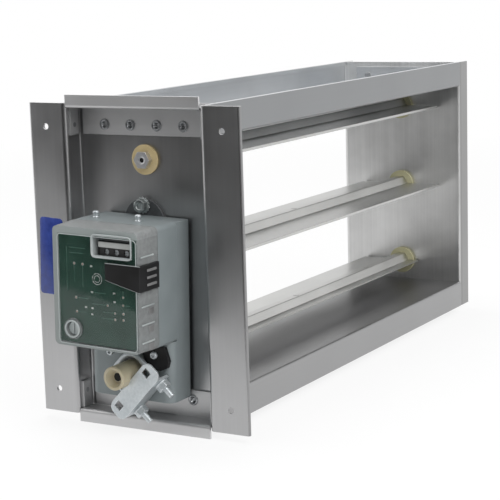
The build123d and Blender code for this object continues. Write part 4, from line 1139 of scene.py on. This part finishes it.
def white_world(ambient):
    """White surroundings with a dimmer level for diffuse light."""
    world = bpy.data.worlds.new("studio")
    bpy.context.scene.world = world
    world.use_nodes = True
    tree = world.node_tree
    background = tree.nodes["Background"]
    background.inputs["Color"].default_value = (1, 1, 1, 1)
    level = spread(tree, seen_directly(tree), ambient, 1.0, 0.0, 1.0)
    tree.links.new(level, background.inputs["Strength"])


def floor_material(white_share):
    """Pale matt floor, lifted towards white where it is seen directly, with the shadow kept."""
    material, tree, shader = start_material("studio_floor", {"Roughness": 0.9, "Specular IOR Level": 0.0})
    shader.inputs["Base Color"].default_value = (0.88, 0.88, 0.88, 1)
    glow = tree.nodes.new("ShaderNodeEmission")
    mix = tree.nodes.new("ShaderNodeMixShader")
    place = tree.nodes.new("ShaderNodeTexCoord")
    reach = tree.nodes.new("ShaderNodeVectorMath")
    reach.operation = "LENGTH"
    tree.links.new(place.outputs["Object"], reach.inputs[0])
    glow_share = spread(tree, reach.outputs["Value"], white_share, 1.0, 0.9, 2.2)
    share = calculate(tree, "MULTIPLY", seen_directly(tree), glow_share)
    tree.links.new(share, mix.inputs[0])
    tree.links.new(shader.outputs[0], mix.inputs[1])
    tree.links.new(glow.outputs[0], mix.inputs[2])
    output = next(node for node in tree.nodes if node.type == "OUTPUT_MATERIAL")
    tree.links.new(mix.outputs[0], output.inputs["Surface"])
    return material


def flat_panel(name, width, height, material):
    """Flat rectangle around its own origin."""
    x = width / 2
    y = height / 2
    mesh = bpy.data.meshes.new(name)
    mesh.from_pydata([(-x, -y, 0), (x, -y, 0), (x, y, 0), (-x, y, 0)], [], [(0, 1, 2, 3)])
    mesh.materials.append(material)
    panel = bpy.data.objects.new(name, mesh)
    bpy.context.scene.collection.objects.link(panel)
    return panel


def card(name, place, aim, width, height, tone):
    """Dark studio panel, out of the camera's sight, that metal mirrors."""
    settings = {"Base Color": (tone, tone, tone, 1), "Roughness": 1.0, "Specular IOR Level": 0.0}
    panel = flat_panel(name, width, height, start_material(name, settings)[0])
    panel.matrix_world = placed(place, Vector(aim) - Vector(place))
    panel.visible_camera = False
    panel.visible_shadow = False
    panel.visible_diffuse = False


FLOOR_SIZE = 12.0
FLOOR_GAP = 0.1 * MM

floor = flat_panel("floor", FLOOR_SIZE, FLOOR_SIZE, floor_material(white_share=0.85))
floor.location.z = floor_z - FLOOR_GAP

white_world(ambient=0.55)
area_light("key", place=(-0.5, -1.2, 1.1), aim=(0.1, 0, 0), size=0.9, power=16)
area_light("top", place=(0.3, 0.4, 1.6), aim=(0.25, 0, 0), size=1.2, power=18)
card("dark_front", (-0.58, 0.45, 0.10), (0.272, 0.90, 0.10), width=1.5, height=0.47, tone=0.03)
card("dark_low", (-0.60, -0.28, 0.02), (0.0, 0.0, 0.02), width=1.5, height=0.32, tone=0.04)

# Camera


def photo_camera():
    """Camera at the photograph's view."""
    azimuth = math.radians(VIEW_AZIMUTH)
    elevation = math.radians(VIEW_ELEVATION)
    roll = math.radians(VIEW_ROLL)
    right = Vector((math.cos(azimuth), math.sin(azimuth), 0))
    back = Vector(
        (
            math.sin(azimuth) * math.cos(elevation),
            -math.cos(azimuth) * math.cos(elevation),
            math.sin(elevation),
        )
    )
    down = -back.cross(right)
    image_x = math.cos(roll) * right - math.sin(roll) * down
    image_y = math.sin(roll) * right + math.cos(roll) * down
    place = VIEW_TARGET - image_x * TARGET_IN_VIEW.x - image_y * TARGET_IN_VIEW.y + back * TARGET_IN_VIEW.z
    data = bpy.data.cameras.new("camera")
    data.sensor_width = SENSOR_MM
    data.lens = FOCAL_LENGTH_PX / IMAGE_SIZE * SENSOR_MM
    data.clip_end = 50
    camera = bpy.data.objects.new("camera", data)
    axes = Matrix((image_x, -image_y, back)).transposed().to_4x4()
    camera.matrix_world = Matrix.Translation(place) @ axes
    bpy.context.scene.collection.objects.link(camera)
    bpy.context.scene.camera = camera


photo_camera()
bpy.context.scene.view_settings.view_transform = "Standard"

bpy.context.view_layer.update()
